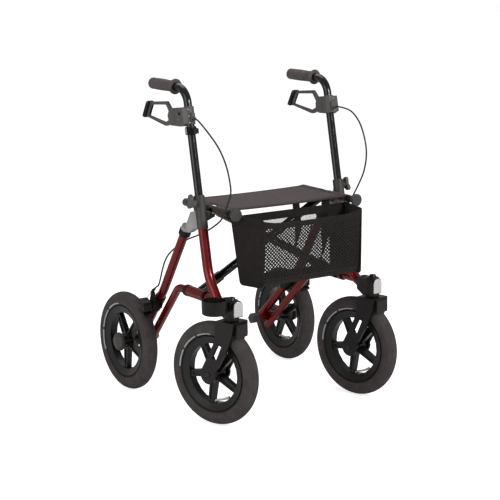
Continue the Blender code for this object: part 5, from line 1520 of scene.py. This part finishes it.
    def side_board(self, side: Side) -> None:
        """Builds a stiff board in its cloth cover, whose faces swell a little, with a piped edge.

        Args:
            side: the board's side.
        """
        span = self.back_y - self.front_y
        outline = self.board_outline(span)
        tilt = atan2(self.back_x - self.front_x, span)
        out = side.at(cos(tilt), sin(tilt), 0)
        centre = Vector((span * 0.58, (self.top + self.bottom) / 2 + 0.03))

        def stand(spot: Vector, lift: float) -> Vector:
            """Places a point of the board.

            Args:
                spot: its distance from the back edge and its height.
                lift: its distance outward.

            Returns:
                The point.
            """
            share = spot.x / span
            x = self.back_x + (self.front_x - self.back_x) * share
            return side.at(x, self.back_y - span * share, spot.y) + out * lift

        form, piping = Form(), Form()
        levels = [(share, -1.0) for share in self.swell_shares]
        levels += [(share, 1.0) for share in self.swell_shares[::-1]]
        rings = []
        for share, face in levels:
            lift = self.board / 2 * (0.55 + 0.45 * (1 - share**6)) + 0.0004 * sin(9.0 * share)
            rings.append(form.ring(stand(centre + (spot - centre) * share, face * lift) for spot in outline))
        form.bridge(rings, closed=True)
        node = f"basket_side_{side}"
        board = self.job.add(f"side_board_{side}", form, Finish.BOARD_CLOTH, slot="basket_cloth", on=node,
                             node=node, sharp=60.0)
        path = [stand(spot, 0.0) for spot in outline]
        piping.tube([*path, path[0]], self.piping, 8, caps=(False, False))
        self.job.make(f"board_piping_{side}", piping, Finish.EDGE_TAPE).parent = board

    def loop(self, side: Side) -> None:
        """Builds the cloth loop that hangs a board on the seat rail.

        Args:
            side: the rail's side.
        """
        outer, inner = self.loop_radii
        start, end = self.loop_tail
        outline = [start, *arc(outer, 205.0, -105.0, 24), *arc(inner, -105.0, 205.0, 24), end]
        form = Form()
        form.bridge([form.ring(side.at(SEAT_RAIL_X + x, y, SEAT_RAIL_Z + z) for x, z in outline)
                     for y in self.loop_ys], closed=True)
        self.job.add(f"rail_loop_{side}", form, Finish.EDGE_TAPE, slot="basket_cloth", on=f"{side}_rail",
                     sharp=50.0)

    def build(self) -> None:
        """Builds the basket, whose pieces ride on the rails and boards."""
        nets = {name: self.net(name) for name in self.knits}
        self.band("net_top_hem", "front", up=(0.895, 1.0))
        for name in ("rear_band", "front_fold", "back_fold"):
            self.band(f"net_{name}", name)
        narrow, wide = self.side_bands
        for side, low in ((Side.RIGHT, 0.0), (Side.LEFT, 1.0)):
            self.band(f"net_tape_{side}", "front", tuple(sorted((low, abs(low - narrow)))))
            self.band(f"net_back_side_{side}", "back", tuple(sorted((low, abs(low - wide)))))
        for side in Side:
            self.side_board(side)
            self.loop(side)
        for name, piece in nets.items():
            width, height = self.flat(name)


# Small fittings


@dataclass
class Fittings(Assembly):
    """The ribbed pad of a lever, the screw heads and plug on its housing, and the stick clip's plate."""

    lever_x: float = 0.0145
    pad_ends: tuple[Pair, Pair] = ((0.1263, 0.9022), (0.1513, 0.8548))
    pad_half: Pair = (0.0130, 0.0055)
    ribs: int = 9
    rib: float = 0.0008
    head: float = 0.0030
    dome: tuple[Pair, ...] = ((-0.3, 1.0), (0.25, 1.0), (0.48, 0.86), (0.60, 0.58))
    socket: tuple[Pair, ...] = ((0.60, 0.58), (0.60, 0.42), (0.2, 0.40), (0.2, 0.0))
    screw_zs: Triple = (0.8970, 0.8780, 0.8600)
    screw_way: Pair = (0.55, -0.83)
    sleeve: float = 0.0158
    housing_face: float = 0.0291
    plug: Pair = (-0.0560, 0.8840)
    rivet: Pair = (-0.0500, 0.8660)
    clip_z: float = 0.8350
    clip_half: float = 0.0092
    clip_radius: float = 0.0166
    clip_turn: Pair = (-12.0, 92.0)
    clip_thick: Pair = (0.0014, 0.0006)
    pad_steps: tuple[int, int] = (40, 90)

    def pad(self) -> None:
        """Builds the ribbed rubber pad over the lever's end."""
        start, end = (self.side.at(FRAME_X + self.lever_x, *spot) for spot in self.pad_ends)
        along = (end - start).normalized()
        back = Vector((0.0, -along.z, along.y))
        across, thick = self.pad_half

        def place(u: float, v: float, w: float) -> Vector:
            """Places a point of the pad.

            Args:
                u: the share round its section.
                v: the share along it.
                w: the share of the section's size.

            Returns:
                The point.
            """
            turn = 2 * pi * u
            square = (abs(cos(turn)) ** 5 + abs(sin(turn)) ** 5) ** (-1 / 5)
            rib = self.rib * max(0.0, cos(2 * pi * self.ribs * v)) * (0.06 < v < 0.94)
            offset = Vector((cos(turn) * across * square, 0, 0)) + back * sin(turn) * (thick + rib) * square
            return start.lerp(end, v) + offset * (1 - 0.22 * abs(2 * v - 1) ** 10) * w

        form, (round_it, along_it) = Form(), self.pad_steps
        levels = [(0.0, 0.7), *((k / along_it, 1.0) for k in range(along_it + 1)), (1.0, 0.7)]
        form.bridge([form.ring(place(k / round_it, v, w) for k in range(round_it)) for v, w in levels],
                    closed=True)
        self.job.add(f"finger_pad_{self.side}", form, Finish.PAD_RUBBER, slot="grip_rubber",
                     on=f"brake_lever_{self.side}", sharp=50.0)

    def screw(self, name: str, place: Vector, axis: Vector, finish: Finish = Finish.PLATED_STEEL,
              scale: float = 1.0) -> None:
        """Builds one domed head with a six-sided socket on the lever's housing.

        Args:
            name: the screw's name.
            place: where its head meets the surface.
            axis: the way that the head faces.
            finish: its finish.
            scale: its size against the common head.
        """
        form = Form()
        for profile, steps in ((self.dome, 24), (self.socket, 6)):
            points = [(far * self.head * scale, out * self.head * scale) for far, out in profile]
            form.turned(points, place, axis, steps)
        slot = "bright_steel" if finish is Finish.PLATED_STEEL else "black_plastic"
        self.job.add(name, form, finish, slot=slot, on=f"{self.side}_handle", sharp=30.0)

    def clip_plate(self) -> None:
        """Builds the pale plate that wraps the outer back of the stick clip's collar on the right post."""
        lean, rise = sin(POST_LEAN), cos(POST_LEAN)
        along, back = Vector((0.0, lean, rise)), Vector((0.0, rise, -lean))

        def place(u: float, v: float, w: float) -> Vector:
            """Places a point of the plate, which starts at the front of the outer side.

            Args:
                u: the share round the post.
                v: the share up it.
                w: the share of its thickness.

            Returns:
                The point.
            """
            turn = radians(self.clip_turn[0] + self.clip_turn[1] * u)
            thick = (self.clip_thick[0] - self.clip_thick[1] * abs(2 * v - 1) ** 8) * w
            out = (self.side.out * cos(turn) + back * sin(turn)) * (self.clip_radius + thick)
            return self.side.on_post(self.clip_z) + out + along * self.clip_half * (2 * v - 1)

        form = Form()
        form.slab(18, 8, place)
        self.job.add("clip_plate", form, Finish.PALE_GREY_MOULDING, slot="light_grey_plastic",
                     on="right_handle", sharp=50.0)

    def build(self) -> None:
        """Builds the side's fittings; the stick clip is on the right only."""
        side, face = self.side, FRAME_X + self.housing_face
        if side is Side.RIGHT:
            self.clip_plate()
        self.pad()
        facing = side.at(*self.screw_way, 0.0).normalized()
        for k, z in enumerate(self.screw_zs):
            self.screw(f"housing_screw_{side}_{k}", side.on_post(z) + facing * self.sleeve, facing)
        self.screw(f"housing_plug_{side}", side.at(face, *self.plug), side.out, Finish.PAD_RUBBER, 1.5)
        self.screw(f"housing_rivet_{side}", side.at(face, *self.rivet), side.out, scale=0.8)


# Studio


@dataclass
class Studio:
    """A plain white floor, soft light from above and both sides, and the photograph's camera."""

    azimuth: float = radians(-34.8543)
    elevation: float = radians(11.8555)
    place: Triple = (-2.6646, -3.8315, 1.4207)
    focal: float = 1558.86 / 500.0
    sensor: float = 36.0
    world: float = 0.34
    glow: float = 0.76
    floor_half: float = 15.0
    lamps: tuple[tuple[str, Triple, float, float], ...] = (
        ("key", (0.8, -3.3, 2.3), 0.7, 64.0),
        ("fill", (-3.4, -0.4, 1.5), 2.4, 34.0),
        ("top", (0.2, 1.2, 3.0), 2.0, 22.0),
    )

    def stand(self, name: str, data: bpy.types.ID, place: Triple, facing: Vector) -> Piece:
        """Stands a camera or lamp so that it looks along a direction.

        Args:
            name: its name.
            data: its camera or light data.
            place: where it stands.
            facing: the way that it looks.

        Returns:
            The object.
        """
        thing = linked(name, data)
        thing.location = place
        thing.rotation_mode = "QUATERNION"
        thing.rotation_quaternion = facing.to_track_quat("-Z", "Y")
        return thing

    def camera(self) -> None:
        """Sets up the camera, whose focal length was fitted as a share of the photograph's width."""
        data = bpy.data.cameras.new("camera")
        data.sensor_width, data.lens = self.sensor, self.focal * self.sensor
        data.clip_start, data.clip_end = 0.05, 60.0
        level, rise = cos(self.elevation), sin(self.elevation)
        facing = Vector((-sin(self.azimuth) * level, cos(self.azimuth) * level, -rise))
        bpy.context.scene.camera = self.stand("camera", data, self.place, facing)

    def light(self) -> None:
        """Adds the soft square lamps, which face the rollator's middle."""
        for name, place, size, power in self.lamps:
            data = bpy.data.lights.new(name, "AREA")
            data.shape, data.size, data.energy = "SQUARE", size, power
            self.stand(name, data, place, Vector((0, 0, 0.45)) - Vector(place))

    def floor(self) -> None:
        """Adds the white floor, which the camera sees near white with the rollator's shadow."""
        form, half = Form(), self.floor_half
        form.lattice(8, 8, lambda u, v: Vector(((2 * u - 1) * half, (2 * v - 1) * half, 0.0)))
        sheet = NodeSheet("studio_floor")
        sheet.set(Base_Color=(0.86, 0.86, 0.86), Roughness=0.9, Specular_IOR_Level=0.1)
        light = sheet.add("Emission", {"Color": (1, 1, 1), "Strength": self.glow})
        ray = sheet.add("LightPath").outputs["Is Camera Ray"]
        both = sheet.add("AddShader", {0: sheet.shader.outputs[0], 1: light.outputs[0]})
        mix = sheet.add("MixShader", {0: ray, 1: sheet.shader.outputs[0], 2: both.outputs[0]})
        sheet.feed(sheet.tree.nodes["Material Output"].inputs["Surface"], mix.outputs[0])
        form.piece("studio_floor", [sheet.material])

    def backdrop(self) -> None:
        """Lights the room evenly and shows it white behind the rollator."""
        world = bpy.data.worlds.new("studio_world")
        world.use_nodes = True
        bpy.context.scene.world = world
        tree = world.node_tree
        plain, white = tree.nodes["Background"], tree.nodes.new("ShaderNodeBackground")
        for node, strength in ((plain, self.world), (white, 1.0)):
            node.inputs["Color"].default_value = (1, 1, 1, 1)
            node.inputs["Strength"].default_value = strength
        path, mix = tree.nodes.new("ShaderNodeLightPath"), tree.nodes.new("ShaderNodeMixShader")
        for k, output in enumerate((path.outputs["Is Camera Ray"], plain.outputs[0], white.outputs[0])):
            tree.links.new(output, mix.inputs[k])
        tree.links.new(mix.outputs[0], tree.nodes["World Output"].inputs["Surface"])

    def build(self) -> None:
        """Sets up the whole studio."""
        for make in (self.camera, self.floor, self.backdrop, self.light):
            make()
        bpy.context.scene.view_settings.view_transform = "Standard"
        LOG.info("studio set up")


def clear_scene() -> None:
    """Removes whatever the start-up scene holds."""
    for thing in list(bpy.data.objects):
        bpy.data.objects.remove(thing)


def main() -> None:
    """Builds the looks piece by piece."""
    logging.basicConfig(level=logging.INFO, format="%(message)s")
    clear_scene()
    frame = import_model()
    job = Job(frame, {finish: finish.make() for finish in Finish})
    Studio().build()
    for kind, side in product((SideFrame, Grip, BrakeCable), Side):
        kind(job, side).build()
    for side, end in product(Side, ("front", "rear")):
        Tyre(job, side, end).build()
    fold = Fold(job, max(abs(value) for value in job.joint("fold")["range_deg"]))
    Seat(job, fold).build()
    Basket(job, fold).build()
    for side in Side:
        Fittings(job, side).build()
    PackedNodes(job).dress()


if __name__ == "__main__":
    main()
